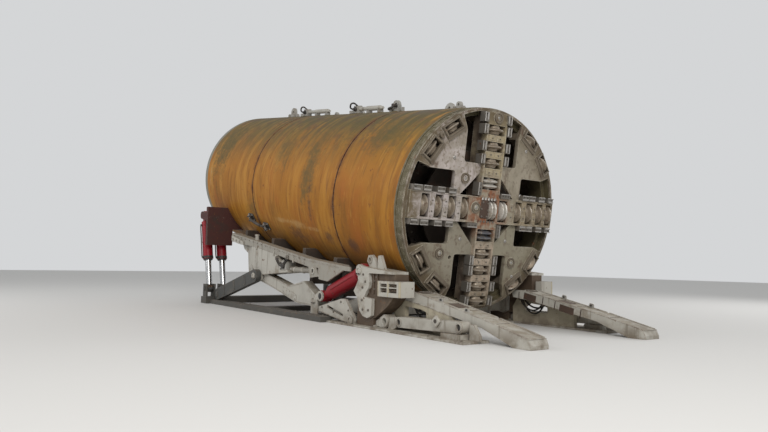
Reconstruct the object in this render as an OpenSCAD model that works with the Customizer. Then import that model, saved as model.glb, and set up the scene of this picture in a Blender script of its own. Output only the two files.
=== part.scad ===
// Hard rock tunnel boring machine, parked nose down on its hydraulic launch cradle.
// Millimetres, +X towards the cutterhead, +Z up, ground at Z = 0.

/* [Shield] */
// Outer diameter of the shield
shield_d = 4200; // [4000:10:4400]
// Thickness of the shield's steel shell
shell_t = 60; // [40:5:80]
// Length of the front section
front_len = 2318; // [2000:10:2600]
// Length of the middle section
middle_len = 4452; // [4000:10:4800]
// Length of the tail section
tail_len = 3864; // [3500:10:4100]
// Width of the open seam between two sections
seam_w = 26; // [16:2:40]
// Nose down angle of the shield
pitch = 8.9; // [8.5:0.1:9.3]
// Height of the cutterhead's centre above the ground
head_z = 2420; // [2380:5:2460]
// Thickness of the bulkhead
bulkhead_t = 80; // [50:5:120]
// Diameter of the main drive
drive_d = 2700; // [2300:50:2900]
// Number of thrust cylinders
thrust_n = 14; // [10:2:16]
// Diameter of a thrust cylinder's barrel
thrust_d = 240; // [200:10:280]

/* [Cutterhead] */
// Distance from the cutterhead's face back to the shield's front edge
head_t = 311; // [280:5:360]
// Gap between the outside of the cutterhead and the line of the shield
head_gap = 17; // [10:1:30]
// Thickness of the face panels
panel_t = 90; // [60:5:120]
// Width of an arm
arm_w = 540; // [520:5:580]
// Depth of an arm
arm_t = 420; // [400:5:460]
// Thickness of the cutterhead's rim
rim_t = 60; // [45:5:80]
// How far an arm stands proud of the panels
arm_proud = 70; // [20:5:80]
// Diameter of a disc cutter
disc_d = 432; // [400:4:440]
// Width of a disc cutter's hub
hub_w = 170; // [150:5:190]
// Diameter of a disc cutter's shaft
shaft_d = 120; // [100:5:140]
// How far a disc cutter's edge stands proud of its arm
disc_proud = 90; // [60:5:110]
// Width of a muck opening
muck_w = 460; // [380:10:480]
// Length of a scraper block
scraper_w = 200; // [140:5:210]

/* [Cradle] */
// Distance from the centre line to the middle of a side frame
side_y = 1900; // [1880:5:1920]
// Height of the tilt axis above the ground
tilt_z = 450; // [430:5:480]
// Radius of the trunnion drums
drum_r = 330; // [300:5:350]
// Thickness of the cradle's side plates
side_t = 60; // [40:5:65]
// Width of a saddle under the shield
saddle_t = 140; // [100:10:200]
// Diameter of the cradle's pins
pin_d = 120; // [100:5:140]
// Diameter of a lift cylinder's barrel
lift_d = 300; // [260:10:320]
// Diameter of a lift cylinder's rod
lift_rod_d = 180; // [150:10:200]
// Diameter of a front cylinder's barrel
front_d = 280; // [240:10:300]

/* [Base] */
// Height of the ground skids
skid_h = 120; // [100:10:160]
// Width of a ground skid
skid_w = 300; // [240:10:340]
// Thickness of the ground plates
pad_t = 40; // [30:5:60]
// Distance from the cutterhead's centre forward to the ramp tips
ramp_x = 2750; // [2600:10:2900]
// Width of a ramp
ramp_w = 420; // [380:10:420]
// Height of the ramps' rear ends
ramp_z = 745; // [720:5:760]

/* [Hidden] */
$fn = 96;
shield_r = shield_d / 2;
bore_r = shield_r - shell_t;
fit = 0.3;
// Stations behind the cutterhead's face
s_front = head_t;
drive_s = s_front + 700;
s_middle = s_front + front_len;
s_tail = s_middle + middle_len;
s_end = s_tail + tail_len;
// The origin lies on the ground under the middle of the whole length
back_x = -(s_end * cos(pitch) + shield_r * sin(pitch));
mid_x = (ramp_x + back_x) / 2;
head_r = shield_r - head_gap;
disc_r = disc_d / 2;
// Depth of a disc's axis behind the front of its arm
disc_deep = disc_r - disc_proud;
// Cutter rows: angle of the arm, radii of its single discs, of its twins and of its scrapers.
// The twins of the last row are the centre discs
ROWS = [[0, [960, 1300, 1640], [545], [1035, 1300, 1640, 1880]],
  [90, [640, 980, 1320, 1660], [], [1035, 1320, 1660, 1880]],
  [180, [900, 1240, 1580, 1880], [520], [1035, 1245, 1580, 1880]],
  [270, [880, 1220, 1540, 1840], [110, 420], [1035, 1240, 1540, 1840]]];
pocket_w = 200;
twin_w = 250;
// Distance between the two discs of a pair, and the width of their narrower hubs
twin_gap = 100;
twin_hub = 95;
end_wall = 22;
pocket_l = disc_d + 20;
// Gauge cutters: angle round the face, two in each quarter
GAUGE = [for (q = [0 : 3], a = [35, 55]) 90 * q + a];
gauge_tilt = 20;
gauge_proud = 55;
gauge_w = 310;
gauge_l = 500;
gauge_wall = 22;
gauge_edge = 53;
// Window in the front of a gauge cutter's housing: radial edges about the disc, then half its length
gauge_window = [-60, 125, 200];
gauge_lip = 60;
gauge_r = head_r - gauge_edge - gauge_w / 2;
// The face falls away towards the rim
dome_r = 1780;
dome_fall = 60;
// Muck openings: distance from the centre to their inner end, and to where they widen
muck_r = 930;
muck_far = 1550;
arm_len = sqrt(pow(head_r - rim_t, 2) - pow(arm_w / 2, 2)) - 2;
// The cutterhead steps in at its back to run inside the shield's front edge
step_z = head_t - 50;
neck_r = bore_r - 45;
neck_t = 60;
// Pins of the side frames: X from the cutterhead's centre, then Z
tilt_x = -1250;
apex = [-6420, 905];
link_pin = [-3440, 430];
slot_pin = [-1750, 110];
front_top = [-1460, 1140];
front_low = [-3170, 530];
lift_top = [-10000, 2700];
lift_low = [-9480, 450];
leg_w = 340;
leg_foot = [-9060, skid_h + leg_w / 2 + fit];
// Side frame, out from its middle plane: half the main link, half the trunnion drum, inner faces of the
// trapezoid, bracket and rocker plates, half the trunnion seat, and the inner face of the rail's web
link_half = 110;
drum_half = 160;
trapezoid_in = 125;
bracket_in = 155;
seat_half = 155;
web_in = 146;
rail_in = 70;
leg_in = 200;
leg_t = 140;
// Edges of a cradle rail
RAIL_TOP = [[-8390, 2110], [-3690, 1374], [-2300, 1240]];
RAIL_LOW = [[-2300, 1130], [-3680, 1180], [-6390, 1630], [-8390, 1860]];
function under_rail(x) = [x, lookup(x, RAIL_LOW) - fit];
// Underside of a ramp
RAMP_LOW = [[-460, 600], [100, 535], [1690, 245]];
LIFT_Y = [1880, 2320];

module place() { translate([-mid_x, 0, 0]) children(); }

// Local frame of the shield: origin at the face, X forward along its axis
module along() { place() translate([0, 0, head_z]) rotate([0, pitch, 0]) children(); }

// A solid of revolution about the shield's axis, at a station behind the face
module ring(s, len, ro, ri) {
  translate([-s - len, 0, 0]) rotate([0, 90, 0]) difference() {
    cylinder(r = ro, h = len, $fn = 128);
    if (ri > 0) translate([0, 0, -1]) cylinder(r = ri, h = len + 2, $fn = 128);
  }
}

// The same thing on both sides of the machine
module both() { children(); mirror([0, 1, 0]) children(); }

// A flat outline in X and Z, standing from y0 outward to y0 + t
module slab(y0, t) { translate([0, y0 + t, 0]) rotate([90, 0, 0]) linear_extrude(t) children(); }

// A round bar across the machine at [x, z]
module cross_bar(at, y0, len, d) {
  translate([at[0], y0, at[1]]) rotate([-90, 0, 0]) cylinder(d = d, h = len);
}

// A bar with round ends between two points of a flat outline
module bar2(a, b, w) {
  d = b - a;
  translate(a) rotate(atan2(d[1], d[0])) union() {
    translate([0, -w / 2]) square([norm(d), w]);
    circle(d = w);
    translate([norm(d), 0]) circle(d = w);
  }
}

module front_shell() { color("#a8742c") along() ring(s_front, front_len - seam_w / 2, shield_r, bore_r); }

module middle_shell() {
  color("#b07a2e") along() ring(s_middle + seam_w / 2, middle_len - seam_w, shield_r, bore_r);
}

module tail_shell() {
  color("#a8742c") along() ring(s_tail + seam_w / 2, tail_len - seam_w / 2, shield_r, bore_r);
}

module seam_rings() {
  color("#3a2a20") along() for (s = [s_middle, s_tail]) {
    ring(s - 120, 240, bore_r - fit, bore_r - 80);
    ring(s - seam_w / 2 + 1, seam_w - 2, shield_r - 25, bore_r - fit - 1);
  }
}

module rim_ring() { color("#4a3328") along() ring(s_front - 40, 40, shield_r, bore_r); }

module bulkhead() {
  color("#6a6a66") along() difference() {
    ring(s_front + 1150, bulkhead_t, bore_r - fit, drive_d / 2 + fit);
    for (a = [30, 150, 270]) rotate([a, 0, 0]) translate([-s_front - 1200, 0, 1680])
      rotate([0, 90, 0]) cylinder(d = 500, h = 400, center = true);
  }
}

module main_drive() { color("#55585a") along() ring(drive_s, 1400, drive_d / 2, 0); }

thrust_pr = bore_r - 80 - 15 - thrust_d / 2;
thrust_s = s_middle + 1200;
thrust_l = 2200;
thrust_out = 900;

// The ring that carries the thrust cylinders
module thrust_ring() {
  color("#6a6a66") along() ring(thrust_s - bulkhead_t, bulkhead_t - fit, bore_r - fit, drive_d / 2 + fit);
}

module thrust_barrels() {
  color("#8a2f28") along() for (i = [0 : thrust_n - 1])
    rotate([(i + 0.5) * 360 / thrust_n, 0, 0]) translate([0, 0, thrust_pr])
      ring(thrust_s, thrust_l, thrust_d / 2, thrust_d / 2 - 45);
}

module thrust_rods() {
  color("#b8bcc0") along() for (i = [0 : thrust_n - 1])
    rotate([(i + 0.5) * 360 / thrust_n, 0, 0]) translate([0, 0, thrust_pr]) {
      ring(thrust_s + thrust_l - 1500, 1500 + thrust_out, thrust_d / 2 - 45.3, 0);
      ring(thrust_s + thrust_l + thrust_out, 120, thrust_d / 2 + 5, 0);
    }
}

// Lifting points along the top: station, angle from the top, height of the plate, bore
LUGS = [[2050, -12, 300, 110], [3200, 6, 260, 130], [1000, 4, 150, 70], [5600, -8, 180, 70],
  [7000, -8, 180, 70], [9200, 0, 300, 110]];

module shield_lugs() {
  color("#b9b4a8") along() for (l = LUGS) rotate([l[1], 0, 0]) translate([-l[0], 0, shield_r + fit])
    rotate([90, 0, 0]) linear_extrude(70, center = true) difference() {
      union() {
        translate([-l[2], 0]) square([2 * l[2], l[2] * 0.4]);
        translate([0, l[2] * 0.55]) circle(r = l[2] * 0.5);
      }
      translate([0, l[2] * 0.55]) circle(d = l[3]);
    }
}

// Cutterhead parts are drawn in the face plane: X up, Y to the right hand side, Z forward
module face() { along() rotate([0, 90, 0]) rotate([0, 0, 180]) children(); }

// The space in front of and behind the face: level up to dome_r, then falling towards the rim
module dome(h) {
  rotate_extrude($fn = 128) polygon([[0, -2000], [head_r, -2000], [head_r, h - dome_fall], [dome_r, h], [0, h]]);
}

// A pocket through an arm at radius r
module pocket(r, w) {
  translate([r - w / 2, -pocket_l / 2, arm_proud - 2 * disc_r - 20]) cube([w, pocket_l, 2 * disc_r + 40]);
}

module head_arms() {
  color("#b5afa2") face() intersection() {
    dome(arm_proud);
    difference() {
      for (row = ROWS) rotate([0, 0, row[0]]) {
        translate([0, -arm_w / 2, -step_z + 32]) cube([arm_len, arm_w, step_z - 32 + arm_proud]);
        translate([0, -arm_w / 2, arm_proud - arm_t]) cube([neck_r - neck_t - 40, arm_w, arm_t - 60]);
      }
      for (row = ROWS) rotate([0, 0, row[0]]) {
        for (r = row[1]) pocket(r, pocket_w);
        for (r = row[2]) pocket(r, twin_w);
        shaft(row, shaft_d);
      }
    }
  }
}

// The shaft of a row of discs, let into the arm's walls
module shaft(row, d) {
  inner = len(row[2]) > 0 ? row[2][0] - twin_w / 2 : row[1][0] - pocket_w / 2;
  outer = row[1][3] == undef ? row[1][2] : row[1][3];
  translate([inner - end_wall, 0, arm_proud - disc_deep]) rotate([0, 90, 0])
    cylinder(d = d, h = outer + pocket_w / 2 + 2 * end_wall - 2 - inner);
}

// Opening beside an arm, from its inner end out to the rim
module muck_opening() {
  t = arm_w / 2;
  polygon([[muck_r, t], [muck_r, t + muck_w - 60], [muck_r + 60, t + muck_w], [muck_far, t + muck_w],
    [head_r, t + muck_w + 170], [head_r, t]]);
  translate([muck_r + 60, t + muck_w - 60]) circle(r = 60);
}

module head_panels() {
  color("#b9b3a6") face() intersection() {
    dome(0);
    translate([0, 0, -panel_t]) linear_extrude(panel_t) difference() {
      circle(r = head_r, $fn = 128);
      for (row = ROWS) rotate(row[0]) {
        translate([-1, -arm_w / 2]) square([arm_len + 1, arm_w]);
        translate([arm_w / 2, arm_w / 2]) polygon([[0, 0], [480, 0], [0, 480]]);
      }
      intersection() {
        circle(r = head_r - rim_t, $fn = 128);
        for (row = ROWS, m = [0, 1]) rotate(row[0]) mirror([0, m]) muck_opening();
      }
      for (a = GAUGE) rotate(a) translate([gauge_r, 0]) square([gauge_w, gauge_l], center = true);
      translate([-1000, 830]) circle(r = 40);
    }
  }
}

module head_rim() {
  color("#a9a396") face() difference() {
    union() {
      translate([0, 0, -step_z]) cylinder(r = head_r, h = step_z - panel_t, $fn = 128);
      translate([0, 0, -head_t - 300]) cylinder(r = neck_r, h = head_t + 301 - step_z, $fn = 128);
    }
    translate([0, 0, -step_z + 28]) cylinder(r = head_r - rim_t, h = step_z, $fn = 128);
    translate([0, 0, -head_t - 400]) cylinder(r = neck_r - neck_t, h = head_t + 500, $fn = 128);
    for (a = GAUGE) rotate(a) {
      translate([gauge_r - gauge_w / 2, -gauge_l / 2, -step_z + 28]) cube([gauge_w, gauge_l, step_z]);
      translate([gauge_r - gauge_w / 2 + gauge_wall, -150, -step_z - 70]) cube([208, 300, 200]);
    }
  }
}

module head_back() {
  color("#8e897e") face() {
    translate([0, 0, -head_t - 330]) difference() {
      cylinder(r = 1200, h = 60);
      translate([0, 0, -1]) cylinder(r = 500, h = 62);
    }
    translate([0, 0, -head_t - 270]) difference() {
      cylinder(r = 600, h = head_t + 270 - arm_t + arm_proud - fit);
      translate([0, 0, -1]) cylinder(r = 500, h = head_t + 270);
    }
    translate([0, 0, fit - drive_s]) cylinder(r = 700, h = drive_s - fit - head_t - 330);
  }
}

module head_scrapers() {
  color("#8c867a") face() intersection() {
    dome(arm_proud + 40);
    for (row = ROWS) rotate([0, 0, row[0]]) {
      for (m = [0, 1], r = row[3]) mirror([0, m, 0])
        translate([r - scraper_w / 2, arm_w / 2 + fit, arm_proud - 130]) cube([scraper_w, 110, 170]);
      translate([290, arm_w / 2 + fit, arm_proud - 130]) cube([270, 100, 170]);
    }
  }
}

// Wear bosses: up, to the right hand side, outer radius, height of the face that carries them
BOSSES = [[1890, 0, 110, arm_proud], [40, 360, 110, arm_proud], [600, 670, 110, 0], [-920, 1120, 110, 0],
  [-1080, -900, 110, 0], [1370, 1370, 55, 0]];

module head_bosses() {
  color("#b5afa2") face() for (b = BOSSES) difference() {
    translate([b[0], b[1], b[3] - 60]) difference() {
      cylinder(r = b[2], h = 95);
      translate([0, 0, 80]) cylinder(r = b[2] - 30, h = 20);
    }
    dome(b[3] + fit);
  }
}

// Frame of a gauge cutter: X along its leaning axis
module gauge_axis(a) {
  rotate([0, 0, a]) translate([gauge_r, 0, gauge_proud - disc_r * cos(gauge_tilt)]) rotate([0, gauge_tilt, 0])
    children();
}

module gauge_shaft(a, d) {
  intersection() {
    gauge_axis(a) rotate([0, 90, 0]) cylinder(d = d, h = gauge_w * 2, center = true);
    rotate([0, 0, a]) translate([gauge_r - gauge_w / 2 + 5, -gauge_l / 2, 40 - step_z]) cube([gauge_w - 10, gauge_l, 800]);
  }
}

module gauge_boxes() {
  color("#a39d90") face() intersection() {
    dome(35);
    for (a = GAUGE) difference() {
      rotate([0, 0, a]) {
        translate([gauge_r - gauge_w / 2 + fit, -gauge_l / 2 + fit, -step_z + 30])
          cube([gauge_w - 2 * fit, gauge_l - 2 * fit, step_z]);
        translate([gauge_r - gauge_w / 2 + fit, -gauge_l / 2 + fit, -350])
          cube([neck_r - neck_t - 25 - gauge_r + gauge_w / 2, gauge_l - 2 * fit, 300]);
      }
      rotate([0, 0, a]) translate([gauge_r, 0, 0]) {
        translate([gauge_wall - gauge_w / 2, gauge_wall - gauge_l / 2, -450])
          cube([gauge_w - 2 * gauge_wall, gauge_l - 2 * gauge_wall, 450 + 35 - gauge_lip]);
        translate([gauge_window[0], -gauge_window[2], -100])
          cube([gauge_window[1] - gauge_window[0], 2 * gauge_window[2], 200]);
      }
      gauge_shaft(a, shaft_d);
    }
  }
}

module cutter_shafts() {
  color("#77736a") face() {
    for (row = ROWS) rotate([0, 0, row[0]]) shaft(row, shaft_d);
    for (a = GAUGE) gauge_shaft(a, shaft_d);
  }
}

// A disc cutter with its axis along X: hub, ring and cutting edge
module disc(hub = hub_w) {
  rotate([0, 90, 0]) rotate_extrude() polygon([[shaft_d / 2 + fit, -hub / 2], [disc_r - 90, -hub / 2],
    [disc_r - 70, -40], [disc_r - 12, -18], [disc_r, -8], [disc_r, 8], [disc_r - 12, 18],
    [disc_r - 70, 40], [disc_r - 90, hub / 2], [shaft_d / 2 + fit, hub / 2]]);
}

// The single discs and the pairs of a row, on the row's shaft
module disc_row(row, singles, twins) {
  color("#6e675c") face() rotate([0, 0, row[0]]) translate([0, 0, arm_proud - disc_deep]) {
    for (r = singles) translate([r, 0, 0]) disc();
    for (r = twins, k = [-0.5, 0.5]) translate([r + k * twin_gap, 0, 0]) disc(twin_hub);
  }
}

module top_discs() { disc_row(ROWS[0], ROWS[0][1], ROWS[0][2]); }
module left_discs() { disc_row(ROWS[1], ROWS[1][1], ROWS[1][2]); }
module bottom_discs() { disc_row(ROWS[2], ROWS[2][1], ROWS[2][2]); }
module right_discs() { disc_row(ROWS[3], ROWS[3][1], []); }

module centre_discs() { disc_row(ROWS[3], [], ROWS[3][2]); }

module gauge_disc(i) { color("#6e675c") face() gauge_axis(GAUGE[i]) disc(); }

// Rails that run parallel to the shield, a little below it: a channel closed by an outer web, with a
// bored lug, an arm and a tube under it
module cradle_rails() {
  color("#c9c5ba") place() both() {
    difference() {
      slab(side_y - rail_in, rail_in + web_in) polygon(concat(RAIL_TOP, RAIL_LOW));
      slab(side_y - rail_in - 1, rail_in + web_in - 30)
        polygon([[-8500, 2075], [-3700, 1324], [-2500, 1205], [-2500, 1175], [-3690, 1225], [-6380, 1680],
          [-8500, 1930]]);
    }
    slab(side_y + web_in, 39) difference() {
      union() {
        polygon(concat(RAIL_TOP, [[-1880, 1200], [-1880, 1110]], RAIL_LOW));
        polygon([[-3230, 1180], [-2130, 1130], [-2800, 870], [-3190, 910]]);
        polygon([[-3700, 1210], [-3360, 1210], [-3190, 970], [-3590, 930]]);
      }
      translate([-3470, 1090]) circle(d = 110);
    }
    translate([-4790, side_y + 45, 1100]) rotate([0, 90, 0]) cylinder(d = 140, h = 1060);
    slab(side_y - 25, web_in + 26) polygon([[-3740, 1030], [-3740, 1192], [-3680, 1192], [-3680, 1030]]);
  }
}

// Cross plates under the shield, between the rails
module cradle_saddles() {
  color("#c2beb3") along() for (s = [2700, 4200, 6000, 7800]) translate([-s - saddle_t / 2, 0, 0]) difference() {
    union() {
      translate([0, -side_y + rail_in + fit, -1740]) cube([saddle_t, 2 * (side_y - rail_in - fit), 280]);
      translate([0, -side_y + 340, -2330]) cube([saddle_t, 2 * side_y - 680, 591]);
    }
    translate([-1, 0, 0]) rotate([0, 90, 0]) cylinder(r = shield_r + fit, h = saddle_t + 2, $fn = 128);
  }
}

// Trapezoid plates that hang from a rail to the apex pin, and the post behind them
module upper_plates() {
  color("#c6c2b8") place() both() {
    for (y = [-trapezoid_in - side_t, trapezoid_in]) slab(side_y + y, side_t) difference() {
      union() {
        polygon([under_rail(-6960), under_rail(-6390), under_rail(-5350), [-5030, 1160], [-4590, 1030],
          [-5800, 960], [-6560, 900], [-6970, 1200]]);
        translate(apex) circle(d = 300);
      }
      translate(apex) circle(d = pin_d + 2 * fit);
    }
    cross_bar(apex, side_y - trapezoid_in - side_t - 15, trapezoid_in + side_t + 20 + leg_in + leg_t, pin_d);
    slab(side_y - 20, 80) polygon([under_rail(-7870), under_rail(-7130), [-7130, 1000], [-7400, 1000],
      [-7480, 1520], [-7760, 1640]]);
  }
}

// Outline of a rocker: the shark's fin over the lobe that holds the trunnion
module rocker_outline() {
  difference() {
    union() {
      polygon([[-1530, 1230], [-1370, 1245], [-1070, 1175], [-1100, 1060], [-1060, 920], [-1100, 800],
        [-1180, 720], [-1250, 620], [-1180, 610], [-970, 590], [-980, 260], [-1130, 200], [-1300, 230],
        [-1420, 330], [-1490, 470], [-1510, 580], [-1650, 720], [-1560, 830], [-1490, 940]]);
      translate(front_top) circle(d = 250);
    }
    translate(front_top) circle(d = pin_d);
  }
}

module rockers() {
  color("#cfcbc1") {
    place() both() {
      for (y = [-drum_half - 65, drum_half]) slab(side_y + y, 65) rocker_outline();
      cross_bar(front_top, side_y - drum_half - 64, 2 * (drum_half + 64), pin_d);
      // Platform over the drum and its two ears
      slab(side_y - drum_half, 2 * drum_half + 65) polygon([[-1280, 1090 + fit], [-1280, 1222], [-1120, 1200],
        [-300, 1130], [-300, 1080 + fit]]);
      slab(side_y + 20, 60) difference() {
        polygon([[-1270, 1200], [-1390, 1330], [-1340, 1450], [-1210, 1460], [-1130, 1400], [-1040, 1180]]);
        translate([-1270, 1360]) circle(d = 90);
      }
      slab(side_y + 20, 60) polygon([[-1010, 1180], [-1000, 1440], [-900, 1450], [-760, 1160]]);
      // Window box on the drum's outer face
      slab(side_y + drum_half, 75) difference() {
        translate([-770, 650]) square([710, 300]);
        translate([-690, 735]) square([220, 80]);
        translate([-690, 840]) square([220, 60]);
        translate([-430, 735]) square([280, 80]);
        translate([-430, 840]) square([280, 60]);
      }
      slab(side_y - drum_half + 40, 2 * drum_half - 39) polygon([[-230, 650], [-230, 950], [-60, 950], [-60, 650]]);
    }
    // Saddle under the front of the shield, from rocker to rocker
    difference() {
      place() translate([-1450, -side_y + drum_half + 1, 240]) cube([260, 2 * (side_y - drum_half - 1), 900]);
      along() rotate([0, 90, 0]) cylinder(r = shield_r + fit, h = 30000, center = true, $fn = 128);
    }
  }
}

module drums() {
  color("#6b5a4e") place() both() slab(side_y - drum_half + fit, 2 * (drum_half - fit)) union() {
    translate([tilt_x, tilt_z]) circle(r = drum_r);
    polygon([[-1280, 700], [-1280, 1090], [-300, 1080], [-300, 700], [-320, 680], [-390, 600], [-530, 475],
      [-640, 405], [-730, 350], [-830, 290], [-940, 225], [-1000, 205], [-1000, 500]]);
  }
}

// A saddle under the tail with a pair of ears for each lift cylinder
module rear_brackets() {
  color("#6f3a34") difference() {
    place() {
      difference() {
        translate([-9480, -2500, 1760]) cube([140, 5000, 1160]);
        translate([-9481, -side_y + 200, 1759]) cube([142, 2 * side_y - 400, 500]);
      }
      both() for (y = LIFT_Y) {
        for (k = [-1, 1]) slab(y + k * 115 - 25, 50) bar2(lift_top, [-9450, 2600], 230);
        cross_bar(lift_top, y - 140, 280, pin_d);
      }
    }
    along() rotate([0, 90, 0]) cylinder(r = shield_r + fit, h = 30000, center = true, $fn = 128);
  }
}

module main_links() {
  color("#c9c5ba") place() both() slab(side_y - link_half, 2 * link_half) difference() {
    union() {
      polygon([[-6590, 990], [-5960, 940], [-4790, 700], [-4030, 840], [-3480, 565], [-3350, 270], [-4340, 300],
        [-5690, 610], [-6540, 780]]);
      translate(link_pin) circle(d = 280);
    }
    translate(link_pin) circle(d = pin_d + 2 * fit);
    bar2(apex - [50, 0], apex + [50, 0], pin_d + 4);
  }
}

module rear_legs() {
  color("#4c4d4b") place() both() slab(side_y + leg_in, leg_t) difference() {
    bar2(apex, leg_foot, leg_w);
    translate(apex) circle(d = pin_d + 2 * fit);
  }
}

// Bars along the line between a cylinder's two pins
module between(a, b, y) {
  d = b - a;
  place() translate([a[0], y, a[1]]) rotate([0, 90 - atan2(d[1], d[0]), 0]) children();
}

lift_len = norm(lift_low - lift_top);
barrel_len = 1400;

module lift_barrels() {
  color("#8e2a26") both() for (y = LIFT_Y) between(lift_top, lift_low, y) difference() {
    union() {
      translate([0, 0, 220]) cylinder(d = lift_d, h = barrel_len - 220);
      rotate([90, 0, 0]) cylinder(d = 260, h = 160, center = true);
      translate([-80, -80, 0]) cube([160, 160, 230]);
    }
    translate([0, 0, 300]) cylinder(d = lift_rod_d + 0.6, h = barrel_len);
    rotate([90, 0, 0]) cylinder(d = pin_d + 0.6, h = 400, center = true);
  }
}

module lift_rods() {
  color("#c8ccd0") both() for (y = LIFT_Y) between(lift_top, lift_low, y) difference() {
    union() {
      translate([0, 0, 960]) cylinder(d = lift_rod_d, h = lift_len - 960 - 100);
      translate([0, 0, lift_len]) rotate([90, 0, 0]) cylinder(d = 240, h = 150, center = true);
    }
    translate([0, 0, lift_len]) rotate([90, 0, 0]) cylinder(d = pin_d + 0.6, h = 400, center = true);
  }
}

front_cyl = norm(front_low - front_top);
front_rod_d = 200;

module front_barrels() {
  color("#a3242c") both() between(front_top, front_low, side_y) difference() {
    union() {
      translate([0, 0, 60]) cylinder(d = front_d, h = front_cyl - 330);
      rotate([90, 0, 0]) cylinder(d = 280, h = 300, center = true);
    }
    translate([0, 0, 400]) cylinder(d = front_rod_d + 2 * fit, h = front_cyl);
    rotate([90, 0, 0]) cylinder(d = pin_d + 0.6, h = 400, center = true);
  }
}

module front_rods() {
  color("#a3242c") both() between(front_top, front_low, side_y) difference() {
    union() {
      translate([0, 0, 700]) cylinder(d = front_rod_d, h = front_cyl - 700);
      translate([0, 0, front_cyl]) rotate([90, 0, 0]) cylinder(d = 260, h = 214, center = true);
    }
    translate([0, 0, front_cyl]) rotate([90, 0, 0]) cylinder(d = pin_d + 0.6, h = 400, center = true);
  }
}

// Inner edge of the skids, and half the width of the beam across their rear ends
skid_y = 2050;
beam_y = 2480;

module base_skids() {
  color("#8f8c84") place() {
    both() translate([lift_low[0] + 170, skid_y, 0]) cube([-2600 - lift_low[0] - 170, skid_w, skid_h]);
    for (x = [-6000, -3580]) translate([x, -skid_y, 0]) cube([300, 2 * skid_y, skid_h]);
    translate([-1500, -side_y + 300, 0]) cube([400, 2 * side_y - 600, pad_t]);
  }
}

module trunnion_seats() {
  color("#7d766c") place() both() slab(side_y - seat_half, 2 * seat_half) difference() {
    translate([-1600, pad_t]) square([580, 300 - pad_t]);
    translate([tilt_x, tilt_z]) circle(r = drum_r + fit);
  }
}

// Slotted plates at the front cylinder's foot, and the clevis that holds the main link's front pin
module slot_brackets() {
  color("#cfcbc1") place() both() {
    for (y = [-bracket_in - side_t, bracket_in]) slab(side_y + y, side_t) difference() {
      union() {
        polygon([[-2870, 360], [-2140, 530], [-1980, 530], [-1640, 180], [-1640, pad_t], [-1870, pad_t],
          [-3100, 200], [-3100, 300]]);
        translate(slot_pin) circle(d = 240);
      }
      translate(slot_pin) circle(d = pin_d);
      bar2([-2700, 330], [-2090, 190], 60);
      translate([-4000, -500]) square([4000, 500 + pad_t]);
    }
    cross_bar(slot_pin, side_y - bracket_in - side_t - 20, 2 * (bracket_in + side_t + 20), pin_d - 1);
    for (y = [-link_half - 45, link_half + 5]) slab(side_y + y, 40) difference() {
      union() {
        polygon([[-3580, skid_h], [-3280, skid_h], [-3300, 430], [-3040, 560], [-3230, 640], [-3580, 430]]);
        translate(link_pin) circle(d = 270);
        translate(front_low) circle(d = 230);
      }
      translate(link_pin) circle(d = pin_d);
      translate(front_low) circle(d = pin_d);
    }
    cross_bar(link_pin, side_y - link_half - 46, 2 * (link_half + 46), pin_d - 1);
  }
}

module front_links() {
  color("#cfcbc1") place() both() slab(side_y - 100, 200) difference() {
    union() {
      translate([-700, 170]) circle(r = 130);
      polygon([[-1000, 60], [-1000, 150], [-780, 274], [-700, pad_t]]);
      polygon([[-590, pad_t], [-400, pad_t], [-330, 90], [-330, 280], [-520, 260]]);
      bar2([-240, 190], [1430, 240], 200);
    }
    for (p = [[-700, 170], [-240, 190], [1430, 240]]) translate(p) circle(d = pin_d);
  }
}

module front_feet() {
  color("#bdb9ae") place() both() {
    translate([-2600, side_y - 300, 0]) cube([4350, 600, pad_t]);
    translate([1070, side_y - 130, pad_t]) cube([430, 320, 87]);
    slab(side_y - 80, 60) polygon([[1560, pad_t], [1560, 300], [1670, 300], [1800, 120], [1800, pad_t]]);
  }
}

module ramps() {
  color("#c9c5ba") place() both() slab(1725 - ramp_w, ramp_w) polygon(concat([[-520, ramp_z - 5],
    [-70, ramp_z - 5], [1690, 390], [ramp_x - 50, 160], [ramp_x, 60], [ramp_x, 0], [ramp_x - 350, 0]],
    [RAMP_LOW[2], RAMP_LOW[1], RAMP_LOW[0]]));
}

// Windowed plates under the ramps' outer edges
module front_brackets() {
  color("#a9a498") place() both() slab(1630, 95) difference() {
    polygon([[-770, pad_t], [-770, 370], [-640, 560], [-470, 601 - fit], RAMP_LOW[0] - [0, fit],
      RAMP_LOW[1] - [0, fit], [930, 383 - fit], [930, pad_t]]);
    polygon([[-420, 280], [-420, 480], [100, 440], [230, 400], [230, 280]]);
  }
}

module rear_beam() {
  color("#6f6c66") place() {
    translate([lift_low[0] - 250, -beam_y, 0]) cube([420, 2 * beam_y, 200]);
    both() for (y = LIFT_Y, k = [-1, 1]) slab(y + k * 120 - 25, 50) difference() {
      translate(lift_low + [-140, -250]) square([280, 380]);
      translate(lift_low) circle(d = pin_d);
    }
  }
}

front_shell();
middle_shell();
tail_shell();
seam_rings();
rim_ring();
bulkhead();
main_drive();
thrust_ring();
thrust_barrels();
thrust_rods();
shield_lugs();
head_arms();
head_panels();
head_rim();
head_back();
head_scrapers();
head_bosses();
gauge_boxes();
cutter_shafts();
top_discs();
left_discs();
bottom_discs();
right_discs();
centre_discs();
gauge_disc(0);  // gauge_disc_1
gauge_disc(1);  // gauge_disc_2
gauge_disc(2);  // gauge_disc_3
gauge_disc(3);  // gauge_disc_4
gauge_disc(4);  // gauge_disc_5
gauge_disc(5);  // gauge_disc_6
gauge_disc(6);  // gauge_disc_7
gauge_disc(7);  // gauge_disc_8
cradle_rails();
cradle_saddles();
upper_plates();
rockers();
drums();
rear_brackets();
main_links();
rear_legs();
lift_barrels();
lift_rods();
front_barrels();
front_rods();
base_skids();
trunnion_seats();
slot_brackets();
front_links();
front_feet();
ramps();
front_brackets();
rear_beam();
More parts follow.
